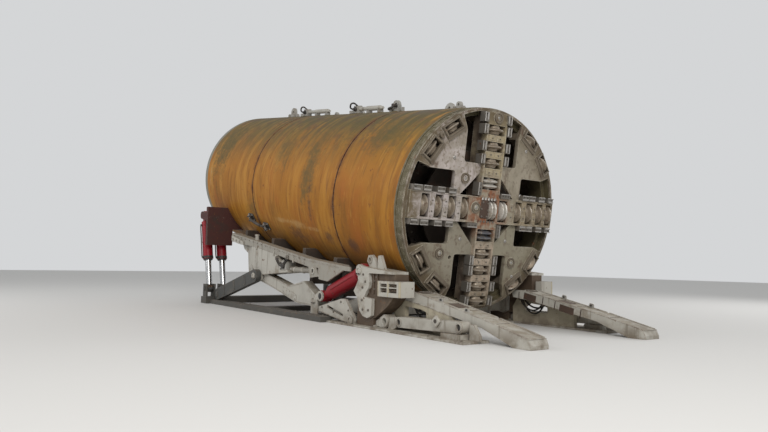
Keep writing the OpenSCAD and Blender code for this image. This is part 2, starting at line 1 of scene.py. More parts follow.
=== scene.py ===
from math import atan2, cos, degrees, pi, radians, sin

import bmesh
import bpy
from mathutils import Matrix, Vector
from mathutils.noise import noise as soft_noise


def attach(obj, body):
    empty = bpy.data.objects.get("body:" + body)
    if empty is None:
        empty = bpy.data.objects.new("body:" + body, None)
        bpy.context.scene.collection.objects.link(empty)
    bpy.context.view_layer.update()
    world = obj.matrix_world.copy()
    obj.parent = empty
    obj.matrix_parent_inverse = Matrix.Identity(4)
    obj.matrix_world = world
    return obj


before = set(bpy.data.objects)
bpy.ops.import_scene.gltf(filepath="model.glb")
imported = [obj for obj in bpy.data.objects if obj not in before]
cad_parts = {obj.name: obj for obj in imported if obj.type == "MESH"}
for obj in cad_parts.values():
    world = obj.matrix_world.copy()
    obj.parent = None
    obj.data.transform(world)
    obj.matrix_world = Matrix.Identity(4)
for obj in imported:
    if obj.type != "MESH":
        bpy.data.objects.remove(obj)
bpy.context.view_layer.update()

# Place of the shield in the row frame, as the solids have it, in metres
PITCH = radians(8.9)
SHIELD_R = 2.1
FACE = Vector((4.194056, 0.0, 2.42))
FORWARD = Vector((cos(PITCH), 0.0, -sin(PITCH)))
UPWARD = Vector((sin(PITCH), 0.0, cos(PITCH)))
NEARWARD = Vector((0.0, -1.0, 0.0))
UP = Vector((0.0, 0.0, 1.0))

# Stations behind the cutterhead's face
FRONT_SEAM = 2.629
TAIL_SEAM = 7.081
TAIL_END = 10.945

# Cutterhead, in its face plane: heights in front of the plane, radii and widths
ARM_FRONT = 0.07
SCRAPER_FRONT = ARM_FRONT + 0.04
DOME_R = 1.78
HEAD_R = 2.083
DOME_SLOPE = 0.06 / (HEAD_R - DOME_R)
# For each arm, by its angle: radii of its single pockets, of its twin pockets and of its scrapers
ROWS = {0: ((0.96, 1.30, 1.64), (0.545,), (1.035, 1.30, 1.64, 1.88)),
        90: ((0.64, 0.98, 1.32, 1.66), (), (1.035, 1.32, 1.66, 1.88)),
        180: ((0.90, 1.24, 1.58, 1.88), (0.52,), (1.035, 1.245, 1.58, 1.88)),
        270: ((0.88, 1.22, 1.54, 1.84), (0.11, 0.42), (1.035, 1.24, 1.54, 1.84))}
SINGLE_POCKET = 0.2
TWIN_POCKET = 0.25
GAUGE_ANGLES = [90 * quarter + lean for quarter in range(4) for lean in (35, 55)]
GAUGE_R = 1.875

# Pins of the side frames: distance forward of the cutterhead's centre, then height
APEX = (-6.42, 0.905)
LINK_PIN = (-3.44, 0.43)
SLOT_PIN = (-1.75, 0.11)
FRONT_TOP = (-1.46, 1.14)
FRONT_LOW = (-3.17, 0.53)
LIFT_TOP = (-10.0, 2.7)
LIFT_LOW = (-9.48, 0.45)
LEG_FOOT = (-9.06, 0.2903)
LIFT_SIDES = (1.88, 2.32)
SIDE_Y = 1.9
SIDES = (-1, 1)

# Camera, fitted to the photo; its roll is in degrees
PHOTO_WIDTH = 768
FOCAL_PX = 634.85
SENSOR_MM = 36.0
CAMERA_AT = Vector((13.633, -9.216, 1.286))
LOOK_FLAT = Vector((-0.817, 0.5765, 0.0)).normalized()
LOOK_UP = radians(4.287)
LOOK_ROLL = 1.003


def new_object(name, data):
    """Puts data into the scene as an object."""
    made = bpy.data.objects.new(name, data)
    bpy.context.collection.objects.link(made)
    return made


def add_camera():
    """The camera stands low in front of the cutterhead, on the machine's right."""
    data = bpy.data.cameras.new("photo_camera")
    data.sensor_width = SENSOR_MM
    data.lens = FOCAL_PX / PHOTO_WIDTH * SENSOR_MM
    camera = new_object("photo_camera", data)
    ahead = LOOK_FLAT * cos(LOOK_UP) + UP * sin(LOOK_UP)
    right = ahead.cross(UP).normalized()
    camera.matrix_world = turned(basis(CAMERA_AT, right, right.cross(ahead), -ahead), LOOK_ROLL)
    bpy.context.scene.camera = camera


# Shader nodes
class Net:
    """A tree of shader nodes, with short ways to add to it."""

    def __init__(self, tree):
        self.tree = tree

    def node(self, kind, **settings):
        """Adds a shader node and sets its plain properties."""
        made = self.tree.nodes.new(kind)
        for key, value in settings.items():
            setattr(made, key, value)
        return made

    def feed(self, value, target):
        """Links a socket, or writes a plain number or colour on the target itself."""
        if isinstance(value, bpy.types.NodeSocket):
            self.tree.links.new(value, target)
        else:
            target.default_value = value

    def maths(self, kind, first, second=0.0):
        """One Math node on two sockets or numbers."""
        made = self.node("ShaderNodeMath", operation=kind)
        self.feed(first, made.inputs[0])
        self.feed(second, made.inputs[1])
        return made.outputs[0]

    def times(self, first, second):
        return self.maths("MULTIPLY", first, second)

    def plus(self, first, second):
        return self.maths("ADD", first, second)

    def minus(self, first, second):
        return self.maths("SUBTRACT", first, second)

    def vectors(self, kind, first, second=(0.0, 0.0, 0.0), out="Vector"):
        """One Vector Math node on two sockets or vectors."""
        made = self.node("ShaderNodeVectorMath", operation=kind)
        self.feed(first, made.inputs[0])
        self.feed(second, made.inputs[1])
        return made.outputs[out]

    def dot(self, point, axis):
        """Distance of a point along an axis."""
        return self.vectors("DOT_PRODUCT", point, axis, "Value")

    def split(self, vector):
        """The X, Y and Z of a vector."""
        made = self.node("ShaderNodeSeparateXYZ")
        self.feed(vector, made.inputs[0])
        return made.outputs

    def ramp(self, source, low, high, soft=False):
        """A ramp from 0 at low to 1 at high."""
        made = self.node("ShaderNodeMapRange", interpolation_type="SMOOTHSTEP" if soft else "LINEAR")
        for label, value in (("Value", source), ("From Min", low), ("From Max", high)):
            self.feed(value, made.inputs[label])
        return made.outputs["Result"]

    def noise(self, vector, size, detail, rough=0.55):
        """Noise from 0 to 1; size is how many lumps to a metre."""
        made = self.node("ShaderNodeTexNoise")
        for label, value in (("Vector", vector), ("Scale", size), ("Detail", detail), ("Roughness", rough)):
            self.feed(value, made.inputs[label])
        return made.outputs["Fac"]

    def mix(self, factor, low, high, kind="RGBA"):
        """Blends two colours, or with the kind FLOAT two numbers."""
        made = self.node("ShaderNodeMix", data_type=kind)
        ends = [s for s in made.inputs if s.name in ("A", "B") and s.enabled]
        for value, target in zip((factor, low, high), (made.inputs["Factor"], *ends)):
            self.feed(value, target)
        return [s for s in made.outputs if s.enabled][0]

    def covered(self, field, cover, edge):
        """Turns a noise field into a mask of the given share, with an edge of the given softness."""
        keep = self.minus(1.0, cover)
        return self.ramp(field, keep, self.plus(keep, edge), True)


class Effect(Net):
    """A shared shader group: a place and named numbers go in, one mask comes out."""

    def __init__(self, name, **numbers):
        super().__init__(bpy.data.node_groups.new(name, "ShaderNodeTree"))
        sockets = self.tree.interface
        sockets.new_socket(name="Vector", in_out="INPUT", socket_type="NodeSocketVector")
        for label, first in numbers.items():
            socket = sockets.new_socket(name=label, in_out="INPUT", socket_type="NodeSocketFloat")
            socket.default_value = first
        sockets.new_socket(name="Mask", in_out="OUTPUT", socket_type="NodeSocketFloat")
        self.given = self.node("NodeGroupInput").outputs
        self.place = self.given["Vector"]

    def give(self, mask):
        """Puts the mask out and hands the group over."""
        self.feed(mask, self.node("NodeGroupOutput").inputs["Mask"])
        return self.tree


def patches():
    """Soft blotches: Size is how many to a metre, Cover from 0 to 1 how much they take."""
    net = Effect("patches", Size=1.0, Cover=0.5, Edge=0.1)
    field = net.noise(net.place, net.given["Size"], 8.0, 0.62)
    return net.give(net.covered(field, net.given["Cover"], net.given["Edge"]))


def edge_wear():
    """Paint rubbed off along edges, broken up by noise."""
    net = Effect("edge_wear", Reach=0.012)
    bevel = net.node("ShaderNodeBevel", samples=4)
    net.feed(net.given["Reach"], bevel.inputs["Radius"])
    plain = net.node("ShaderNodeNewGeometry")
    sharp = net.ramp(net.dot(bevel.outputs["Normal"], plain.outputs["Normal"]), 0.995, 0.9)
    return net.give(net.times(sharp, net.ramp(net.noise(net.place, 9.0, 6.0), 0.38, 0.6)))


# How much slower streaks change downwards than across, and hoops round the shell than along it
STREAK_REACH = 0.07
HOOP_REACH = 0.13


def streaks():
    """Stains that run down the sides, narrow across and long downwards."""
    net = Effect("streaks", Size=6.0, Cover=0.5)
    squeezed = net.vectors("MULTIPLY", net.place, (1.0, 1.0, STREAK_REACH))
    field = net.noise(squeezed, net.given["Size"], 5.0)
    return net.give(net.covered(field, net.given["Cover"], 0.14))


def hoops():
    """Wear that runs round the shell: narrow along it, long round it."""
    net = Effect("hoops", Size=4.0, Cover=0.5)
    flat = net.node("ShaderNodeCombineXYZ")
    net.feed(net.dot(net.place, FORWARD), flat.inputs["X"])
    net.feed(net.times(net.split(net.place)["Y"], HOOP_REACH), flat.inputs["Y"])
    net.feed(net.times(net.dot(net.place, UPWARD), HOOP_REACH), flat.inputs["Z"])
    field = net.noise(flat.outputs["Vector"], net.given["Size"], 6.0, 0.6)
    return net.give(net.covered(field, net.given["Cover"], 0.17))


def settled_dust():
    """Dust and dried mud lying on faces that look upwards."""
    net = Effect("settled_dust", Steep=0.35)
    level = net.split(net.node("ShaderNodeNewGeometry").outputs["Normal"])["Z"]
    facing = net.ramp(level, net.given["Steep"], 1.0)
    return net.give(net.times(facing, net.ramp(net.noise(net.place, 5.0, 7.0, 0.65), 0.3, 0.62)))


def stain():
    """One stain on the shell: its station, its angle from the top, and how far it reaches each way."""
    net = Effect("stain", Station=5.0, Around=60.0, Along=0.4, Across=0.4)
    place = net.vectors("SUBTRACT", net.place, FACE)
    aside = net.maths("ABSOLUTE", net.split(place)["Y"])
    turn = net.maths("ARCTAN2", aside, net.dot(place, UPWARD))
    arc = net.times(net.minus(turn, net.times(net.given["Around"], pi / 180)), SHIELD_R)
    wave = net.noise(net.place, 2.3, 9.0, 0.74)
    ripple = net.noise(net.place, 11.0, 6.0, 0.7)
    bent = net.times(net.minus(net.plus(wave, net.times(ripple, 0.8)), 0.9), 7.0)
    behind = net.minus(net.dot(place, -FORWARD), net.given["Station"])
    along = net.maths("DIVIDE", behind, net.given["Along"])
    across = net.maths("DIVIDE", arc, net.given["Across"])
    far = net.plus(net.times(along, along), net.times(across, across))
    return net.give(net.ramp(net.plus(far, bent), 1.9, -0.9, True))


EFFECTS = {"patches": patches(), "edge_wear": edge_wear(), "streaks": streaks(), "hoops": hoops(),
           "settled_dust": settled_dust(), "stain": stain()}


class Finish(Net):
    """A material built up in layers: each layer mixes a colour and a roughness in by a mask."""

    def __init__(self, name, colour, roughness, metallic=0.0, gloss=0.35):
        self.material = bpy.data.materials.new(name)
        self.material.use_nodes = True
        super().__init__(self.material.node_tree)
        self.shader = self.tree.nodes["Principled BSDF"]
        self.shader.inputs["Specular IOR Level"].default_value = gloss
        self.place = self.node("ShaderNodeTexCoord").outputs["Object"]
        self.now = {"Base Color": (*colour, 1.0), "Roughness": roughness, "Metallic": metallic}
        self.relief = None

    def effect(self, name, share, **values):
        """Places a shared effect with its own values and returns a share of its mask."""
        made = self.node("ShaderNodeGroup", node_tree=EFFECTS[name])
        for label, value in values.items():
            made.inputs[label].default_value = value
        self.feed(self.place, made.inputs["Vector"])
        mask = made.outputs["Mask"]
        return mask if share == 1.0 else self.times(mask, share)

    def patches(self, size, cover, edge, share=1.0):
        return self.effect("patches", share, Size=size, Cover=cover, Edge=edge)

    def streaks(self, size, cover, share=1.0):
        return self.effect("streaks", share, Size=size, Cover=cover)

    def hoops(self, size, cover, share=1.0):
        return self.effect("hoops", share, Size=size, Cover=cover)

    def dust(self, steep, share=1.0):
        return self.effect("settled_dust", share, Steep=steep)

    def wear(self, reach, share=1.0):
        return self.effect("edge_wear", share, Reach=reach)

    def stain(self, station, around, along, across, share):
        return self.effect("stain", share, Station=station, Around=around, Along=along, Across=across)

    def along(self, axis, low, high, origin=FACE):
        """A mask that grows from 0 to 1 between two distances along an axis."""
        shift = origin.dot(axis)
        return self.ramp(self.dot(self.place, axis), low + shift, high + shift, True)

    def round_station(self, station, reach):
        """A mask on both sides of a station of the shell, that fades out at the reach."""
        behind = self.along(-FORWARD, station - reach, station - 0.3 * reach)
        return self.times(behind, self.along(FORWARD, -station - reach, -station - 0.3 * reach))

    def off_axis(self, low, high):
        """A mask that grows from 0 to 1 between two distances from the shield's axis."""
        across = self.vectors("CROSS_PRODUCT", self.vectors("SUBTRACT", self.place, FACE), FORWARD)
        return self.ramp(self.vectors("LENGTH", across, out="Value"), low, high, True)

    def off_centre(self, low, high, soft=True):
        """A mask that grows from 0 to 1 between two distances from the middle of the cutterhead's face."""
        return self.ramp(self.vectors("DISTANCE", self.place, FACE, "Value"), low, high, soft)

    def layer(self, mask, colour, roughness, metallic=None, within=None):
        """Lays a colour, a roughness and sometimes metal over what is there, where the mask is white."""
        factor = mask if within is None else self.times(within, mask)
        self.now["Base Color"] = self.mix(factor, self.now["Base Color"], (*colour, 1.0))
        self.now["Roughness"] = self.mix(factor, self.now["Roughness"], roughness, "FLOAT")
        if metallic is not None:
            self.now["Metallic"] = self.mix(factor, self.now["Metallic"], metallic, "FLOAT")

    def raised(self, mask, height):
        """Adds a mask to the relief, height in metres."""
        high = self.times(mask, height)
        self.relief = high if self.relief is None else self.plus(self.relief, high)

    def done(self, *grains):
        """Ends the material; each grain adds its size and its height in metres to the relief."""
        for size, height in grains:
            self.raised(self.noise(self.place, size, 6.0), height)
        for label, value in self.now.items():
            self.feed(value, self.shader.inputs[label])
        if self.relief is not None:
            bump = self.node("ShaderNodeBump")
            bump.inputs["Distance"].default_value = 1.0
            self.feed(self.relief, bump.inputs["Height"])
            self.feed(bump.outputs["Normal"], self.shader.inputs["Normal"])
        return self.material


# Finishes
OLIVE_GRIME = (0.092, 0.076, 0.030)
OLIVE_PAINT = (0.17, 0.115, 0.030)
SCORCHED = (0.075, 0.042, 0.034)
RUBBED_OCHRE = (0.47, 0.30, 0.12)
RUST = (0.17, 0.066, 0.026)
DRY_MUD = (0.235, 0.195, 0.14)
# Stains on the shell: station, angle from the top, reach along and across, and how strong they are
GREASY = ((3.95, 76, 0.30, 0.95, 0.75), (1.5, 50, 0.6, 0.45, 0.75), (5.6, 66, 0.40, 0.5, 0.6),
          (9.9, 60, 0.6, 1.1, 0.9), (2.9, 32, 0.8, 0.7, 0.75), (7.3, 112, 0.35, 0.4, 0.6))
BURNT = ((3.1, 121, 0.17, 0.16, 0.7), (2.1, 121, 0.20, 0.17, 0.7), (4.7, 124, 0.45, 0.22, 0.7),
         (3.75, 101, 0.07, 0.5, 0.7))
SCRAPED = ((5.45, 115.5, 0.38, 0.06, 0.6), (4.6, 116.0, 0.42, 0.09, 0.6), (3.8, 116.8, 0.3, 0.05, 0.6),
           (10.45, 90, 0.05, 0.4, 0.6))


def shield_paint():
    """Ochre paint, scorched and greasy towards the top, rubbed round the barrel, dark at the seams."""
    paint = Finish("shield_ochre", (0.335, 0.134, 0.009), 0.52, gloss=0.2)
    paint.layer(paint.patches(0.4, 0.62, 0.3), (0.235, 0.092, 0.010), 0.58)
    paint.layer(paint.patches(0.75, 0.55, 0.3, 0.8), (0.34, 0.095, 0.009), 0.52)
    paint.layer(paint.hoops(2.6, 0.54, 0.8), (0.41, 0.185, 0.018), 0.46)
    paint.layer(paint.hoops(8.0, 0.5, 0.7), (0.185, 0.075, 0.012), 0.6)
    paint.layer(paint.hoops(22.0, 0.46, 0.55), (0.45, 0.225, 0.035), 0.5)
    paint.layer(paint.streaks(9.0, 0.4, 0.5), (0.19, 0.085, 0.03), 0.62)
    top = paint.along(UPWARD, 0.3, 2.05)
    paint.layer(paint.patches(1.1, 0.74, 0.3), OLIVE_PAINT, 0.62, within=top)
    paint.layer(paint.hoops(5.0, 0.58), OLIVE_GRIME, 0.66, within=top)
    paint.layer(paint.patches(4.0, 0.52, 0.16, 0.8), (0.115, 0.07, 0.042), 0.7, within=top)
    crown = paint.along(UPWARD, 1.75, 2.12)
    paint.layer(paint.patches(1.6, 0.62, 0.3, 0.9), (0.13, 0.105, 0.085), 0.75, within=crown)
    bottom = paint.along(UPWARD, -0.75, -1.75)
    paint.layer(paint.patches(1.5, 0.68, 0.25, 0.9), (0.14, 0.078, 0.027), 0.7, within=bottom)
    for spot in GREASY:
        paint.layer(paint.stain(*spot), OLIVE_GRIME, 0.68)
    for spot in BURNT:
        paint.layer(paint.stain(*spot), SCORCHED, 0.75)
    paint.layer(paint.patches(7.0, 0.35, 0.05, 0.85), RUST, 0.8)
    for spot in SCRAPED:
        paint.layer(paint.stain(*spot), RUBBED_OCHRE, 0.55)
    for seam in (FRONT_SEAM, TAIL_SEAM):
        rusty = paint.round_station(seam, 0.17)
        paint.layer(paint.patches(3.0, 0.6, 0.25), (0.15, 0.062, 0.022), 0.72, within=rusty)
        paint.layer(paint.round_station(seam, 0.04), (0.045, 0.010, 0.008), 0.72)
    paint.layer(paint.along(-FORWARD, TAIL_END - 0.2, TAIL_END - 0.185), (0.22, 0.215, 0.18), 0.7)
    inside = paint.off_axis(SHIELD_R - 0.012, SHIELD_R - 0.03)
    paint.layer(inside, (0.125, 0.095, 0.07), 0.75)
    paint.layer(paint.patches(1.6, 0.6, 0.25), (0.19, 0.145, 0.10), 0.8, within=inside)
    paint.layer(paint.wear(0.02), (0.20, 0.155, 0.11), 0.6, 0.3)
    paint.raised(paint.noise(paint.place, 0.9, 3.0), 0.014)
    return paint.done((14.0, 0.0025), (70.0, 0.0007))


# Tints of the arms: an axis, where the tint starts and is full along it, colour and roughness
ARM_TINTS = ((UPWARD, 0.6, 0.8, (0.34, 0.28, 0.175), 0.6),
             (NEARWARD, 0.6, 0.9, (0.43, 0.385, 0.37), 0.5),
             (UPWARD, -0.6, -0.8, (0.37, 0.295, 0.225), 0.6),
             (NEARWARD, -0.6, -0.9, (0.27, 0.215, 0.14), 0.62))
# Tints of the quarters: above or below, near or far, colour and roughness
QUARTER_TINTS = ((1, 1, (0.47, 0.415, 0.39), 0.55), (1, -1, (0.30, 0.262, 0.20), 0.6),
                 (-1, 1, (0.25, 0.225, 0.172), 0.62), (-1, -1, (0.26, 0.235, 0.172), 0.62))


def head_paint(name, arms):
    """Worn cream steel: each quarter and each arm has its own tint of dried mud."""
    paint = Finish(name, (0.30, 0.27, 0.205), 0.62)
    if arms:
        for axis, start, full, colour, rough in ARM_TINTS:
            paint.layer(paint.along(axis, start, full), colour, rough)
    else:
        for above, near, colour, rough in QUARTER_TINTS:
            aside = paint.along(NEARWARD, near * 0.1, near * 0.3)
            paint.layer(aside, colour, rough, within=paint.along(UPWARD, above * 0.1, above * 0.3))
    paint.layer(paint.patches(1.8, 0.55, 0.25, 0.8), (0.215, 0.185, 0.135), 0.66)
    paint.layer(paint.patches(10.0, 0.48, 0.12, 0.85), (0.19, 0.155, 0.115), 0.75)
    paint.layer(paint.streaks(7.0, 0.42, 0.7), (0.16, 0.125, 0.085), 0.75)
    outer = paint.off_centre(1.45, 2.0)
    paint.layer(paint.patches(3.5, 0.72, 0.25), (0.125, 0.095, 0.055), 0.78, within=outer)
    paint.layer(paint.patches(3.0, 0.43, 0.12, 0.9), (0.115, 0.075, 0.05), 0.8)
    if arms:
        middle = paint.off_centre(0.8, 0.35)
        paint.layer(paint.patches(5.0, 0.68, 0.25), (0.215, 0.085, 0.04), 0.75, within=middle)
        paint.layer(paint.patches(9.0, 0.45, 0.1), (0.10, 0.05, 0.035), 0.75, within=middle)
    # Faces set back behind the front, in the openings and pockets, are darkened: painted shade of those
    # recesses, broken up like grime.
    back = paint.along(-FORWARD, 0.0, 0.12)
    paint.layer(paint.patches(2.0, 0.75, 0.3), (0.085, 0.062, 0.045), 0.8, within=back)
    paint.layer(paint.wear(0.028, 0.85), (0.46, 0.42, 0.34), 0.45, 0.25)
    if not arms:
        for lean in (45, -45):
            add_ripples(paint, lean)
    return paint.done((7.0, 0.006), (55.0, 0.0016))


def add_ripples(paint, lean):
    """Low hard-faced ripples across the panels, leaning one way."""
    turn = paint.node("ShaderNodeMapping")
    turn.inputs["Rotation"].default_value = (0.0, radians(lean), radians(90))
    paint.feed(paint.place, turn.inputs["Vector"])
    wave = paint.node("ShaderNodeTexWave", wave_type="BANDS", bands_direction="X")
    wave.inputs["Scale"].default_value = 8.0
    wave.inputs["Distortion"].default_value = 1.2
    paint.feed(turn.outputs["Vector"], wave.inputs["Vector"])
    paint.raised(wave.outputs["Fac"], 0.0022)


def rim_paint():
    """The side of the cutterhead and the shield's front edge: olive grime over worn steel."""
    paint = Finish("rim_olive", (0.105, 0.088, 0.047), 0.65)
    paint.layer(paint.patches(2.0, 0.5, 0.2), (0.07, 0.056, 0.034), 0.7)
    paint.layer(paint.patches(9.0, 0.42, 0.1, 0.8), (0.15, 0.115, 0.07), 0.7)
    paint.layer(paint.patches(4.0, 0.34, 0.06), RUST, 0.8)
    paint.layer(paint.wear(0.02), (0.32, 0.285, 0.22), 0.5, 0.3)
    return paint.done((6.0, 0.005), (60.0, 0.001))


def cradle_paint(name, colour, dirt):
    """Pale machine paint, dusty, stained by run-off and chipped along the edges."""
    paint = Finish(name, colour, 0.5)
    paint.layer(paint.patches(1.2, 0.5, 0.22), tuple(0.8 * c for c in colour), 0.58)
    paint.layer(paint.streaks(9.0, 0.44, dirt), (0.21, 0.185, 0.15), 0.7)
    paint.layer(paint.patches(2.6, 0.47, 0.16, dirt), (0.24, 0.205, 0.16), 0.7)
    paint.layer(paint.patches(8.0, 0.36, 0.05, 0.9), (0.13, 0.075, 0.05), 0.82)
    paint.layer(paint.dust(0.4, dirt), DRY_MUD, 0.85)
    low = paint.along(UP, 0.4, 0.0, Vector((0, 0, 0)))
    paint.layer(paint.patches(2.2, 0.62, 0.25), (0.17, 0.14, 0.105), 0.8, within=low)
    paint.layer(paint.wear(0.014), (0.14, 0.09, 0.065), 0.7, 0.2)
    return paint.done((4.0, 0.002), (45.0, 0.0007))


def red_paint():
    """Deep red enamel, dusty and dulled by run-off."""
    paint = Finish("cylinder_red", (0.25, 0.004, 0.011), 0.42)
    paint.layer(paint.patches(2.4, 0.46, 0.2), (0.15, 0.004, 0.008), 0.5)
    paint.layer(paint.patches(9.0, 0.38, 0.1, 0.8), (0.09, 0.035, 0.03), 0.7)
    paint.layer(paint.streaks(11.0, 0.42, 0.5), (0.11, 0.05, 0.045), 0.65)
    paint.layer(paint.dust(0.6, 0.6), (0.19, 0.12, 0.10), 0.8)
    paint.layer(paint.wear(0.01), (0.15, 0.10, 0.085), 0.6, 0.3)
    return paint.done((40.0, 0.0005))


def bare_steel(name, colour, patch, shine=0.35, rough=0.6, worn=(0.24, 0.21, 0.18), rust=0.38):
    """Steel without paint: blotched, a little rusty, rubbed bright along its edges."""
    steel = Finish(name, colour, rough, shine)
    steel.layer(steel.patches(3.0, 0.5, 0.2), patch, rough + 0.12, shine * 0.4)
    steel.layer(steel.patches(12.0, rust, 0.1, 0.85), RUST, 0.82, 0.05)
    steel.layer(steel.dust(0.5, 0.6), (0.16, 0.13, 0.10), 0.85, 0.0)
    steel.layer(steel.wear(0.01), worn, 0.42, 0.8)
    return steel.done((9.0, 0.002), (60.0, 0.0009))


def rod_chrome():
    """Chromed rods, dulled and stained."""
    rod = Finish("rod_chrome", (0.48, 0.485, 0.49), 0.26, 1.0)
    rod.layer(rod.patches(6.0, 0.42, 0.14), (0.34, 0.30, 0.25), 0.45, 0.7)
    rod.layer(rod.streaks(12.0, 0.4, 0.6), (0.22, 0.17, 0.12), 0.6, 0.3)
    return rod.done()


def hose_rubber():
    """Black rubber under dust."""
    rubber = Finish("hose_rubber", (0.018, 0.017, 0.016), 0.62)
    rubber.layer(rubber.patches(8.0, 0.5, 0.2), (0.055, 0.046, 0.036), 0.85)
    rubber.layer(rubber.dust(0.2, 0.8), (0.15, 0.12, 0.09), 0.9)
    return rubber.done((120.0, 0.0005))


def cutter_steel():
    """Disc cutters: brown from work, bright round the middle, blue-grey just below it."""
    steel = Finish("cutter_steel", (0.235, 0.19, 0.14), 0.5, 0.4)
    middle = steel.off_centre(0.8, 0.72, False)
    above = steel.times(middle, steel.along(UPWARD, -0.25, -0.15))
    steel.layer(steel.along(NEARWARD, 0.42, 0.36), (0.56, 0.53, 0.48), 0.34, 0.5, within=above)
    steel.layer(steel.along(UPWARD, -0.25, -0.35), (0.12, 0.125, 0.14), 0.45, 0.6, within=middle)
    steel.layer(steel.patches(9.0, 0.5, 0.15, 0.8), (0.31, 0.26, 0.20), 0.55, 0.3)
    steel.layer(steel.patches(15.0, 0.42, 0.1, 0.9), (0.12, 0.065, 0.04), 0.8, 0.1)
    steel.layer(steel.wear(0.014), (0.47, 0.44, 0.40), 0.33, 0.85)
    return steel.done((50.0, 0.0014))


FINISHES = {
    "shield": shield_paint(),
    "panel": head_paint("panel_cream", False),
    "arm": head_paint("arm_cream", True),
    "rim": rim_paint(),
    "cradle": cradle_paint("cradle_white", (0.42, 0.40, 0.352), 0.85),
    "box": cradle_paint("box_cream", (0.41, 0.365, 0.27), 0.9),
    "lug": cradle_paint("lug_grey", (0.33, 0.32, 0.29), 0.85),
    # The rails' darker colour is partly painted shade, for the shadow of the shield over them, and partly
    # grime.
    "rail": cradle_paint("rail_grime_and_shade", (0.30, 0.28, 0.24), 1.0),
    "red": red_paint(),
    "chrome": rod_chrome(),
    "cutter": cutter_steel(),
    "hose": hose_rubber(),
    "seam": bare_steel("seam_dark", (0.030, 0.012, 0.009), (0.05, 0.018, 0.012), 0.15, 0.7,
                       (0.06, 0.024, 0.016)),
    "inner": bare_steel("inner_brown", (0.085, 0.068, 0.055), (0.10, 0.055, 0.038)),
    "drum": bare_steel("drum_brown", (0.095, 0.066, 0.045), (0.15, 0.11, 0.075), 0.12, 0.65),
    "leg": bare_steel("leg_dark", (0.07, 0.07, 0.065), (0.11, 0.10, 0.085), 0.2, 0.55),
    "base": bare_steel("base_grey", (0.085, 0.08, 0.07), (0.13, 0.115, 0.095), 0.15, 0.65),
    "scraper": bare_steel("scraper_steel", (0.155, 0.14, 0.12), (0.095, 0.075, 0.055), 0.35, 0.5),
    "housing": bare_steel("housing_brown", (0.16, 0.13, 0.095), (0.10, 0.075, 0.052), 0.15, 0.6,
                          (0.3, 0.27, 0.21)),
    "carrier": bare_steel("carrier_dark", (0.07, 0.024, 0.020), (0.045, 0.03, 0.024), 0.1, 0.6),
    "tip": bare_steel("tip_steel", (0.36, 0.34, 0.315), (0.23, 0.20, 0.17), 0.6, 0.42,
                      (0.6, 0.58, 0.55), 0.32),
    "bolt": bare_steel("bolt_steel", (0.19, 0.17, 0.145), (0.13, 0.10, 0.075), 0.5, 0.55),
    "dark": bare_steel("pin_dark", (0.045, 0.042, 0.040), (0.075, 0.06, 0.05), 0.4, 0.5),
    "hatch": bare_steel("hatch_brown", (0.075, 0.048, 0.036), (0.10, 0.065, 0.045), 0.1, 0.7),
}
NODE_FINISH = {
    "shield": ("front_shell", "middle_shell", "tail_shell"),
    "seam": ("seam_rings",),
    "rim": ("rim_ring", "head_rim"),
    "inner": ("bulkhead", "main_drive", "thrust_ring", "head_back", "cradle_saddles"),
    "rail": ("cradle_rails",),
    "scraper": ("head_scrapers",),
    "red": ("thrust_barrels", "lift_barrels", "front_barrels", "front_rods"),
    "carrier": ("rear_brackets",),
    "chrome": ("thrust_rods", "lift_rods"),
    "panel": ("head_panels",),
    "housing": ("gauge_boxes", "head_bosses"),
    "arm": ("head_arms",),
    "lug": ("shield_lugs",),
    "cradle": ("upper_plates", "main_links", "slot_brackets", "front_links", "front_feet", "ramps",
               "rockers"),
    "box": ("front_brackets",),
    "drum": ("drums", "trunnion_seats"),
    "leg": ("rear_legs",),
    "base": ("base_skids", "rear_beam"),
}


def dress_nodes():
    """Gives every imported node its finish; the cutters and their shafts share the bare steel."""
    by_node = {node: finish for finish, group in NODE_FINISH.items() for node in group}
    for name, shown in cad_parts.items():
        shown.data.materials.clear()
        shown.data.materials.append(FINISHES[by_node.get(name, "cutter")])


# Mesh tools
TRAYS = {}


def tray(name, body, finish):
    """The mesh that gathers the small parts of one kind on one body."""
    if name not in TRAYS:
        TRAYS[name] = (bmesh.new(), body, finish)
    return TRAYS[name][0]


def put_out_trays():
    """Turns each tray into one object that rides on its body."""
    for name, (mesh, body, finish) in TRAYS.items():
        bmesh.ops.recalc_face_normals(mesh, faces=mesh.faces)
        data = bpy.data.meshes.new(name)
        mesh.to_mesh(data)
        mesh.free()
        data.shade_smooth()
        data.set_sharp_from_angle(angle=radians(35))
        data.materials.append(FINISHES[finish])
        piece = new_object(name, data)
        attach(piece, body)


def basis(origin, across, over, out):
    """A place from its origin and its own X, Y and Z directions."""
    turn = Matrix((across, over, out)).transposed().to_4x4()
    return Matrix.Translation(origin) @ turn


def moved(place, x=0.0, y=0.0, z=0.0):
    """A place shifted along its own directions."""
    return place @ Matrix.Translation((x, y, z))


def turned(place, angle, axis="Z"):
    """A place turned by so many degrees about one of its own directions."""
    return place @ Matrix.Rotation(radians(angle), 4, axis)


WORLD = Matrix.Identity(4)
FACE_PLACE = basis(FACE, UPWARD, NEARWARD, FORWARD)
# How deep small parts are let into the face that they sit on, and what is taken off their edges
LET_IN = 0.004
EDGE = 0.004


def face_fall(radius):
    """How far the face lies back at a radius."""
    return max(0.0, radius - DOME_R) * DOME_SLOPE


def on_arm(angle, radius, across=0.0, level=0.0):
    """On an arm's face: X outwards from the centre, Y across it, Z forward."""
    return moved(turned(FACE_PLACE, angle), radius, across, level - face_fall(radius))


def shell_place(station, around, out=0.0):
    """On the shell: X forward, Z outwards; around is the angle from the top towards the near side."""
    outward = UPWARD * cos(radians(around)) + NEARWARD * sin(radians(around))
    origin = FACE - FORWARD * station + outward * (SHIELD_R + out)
    return basis(origin, FORWARD, outward.cross(FORWARD), outward)


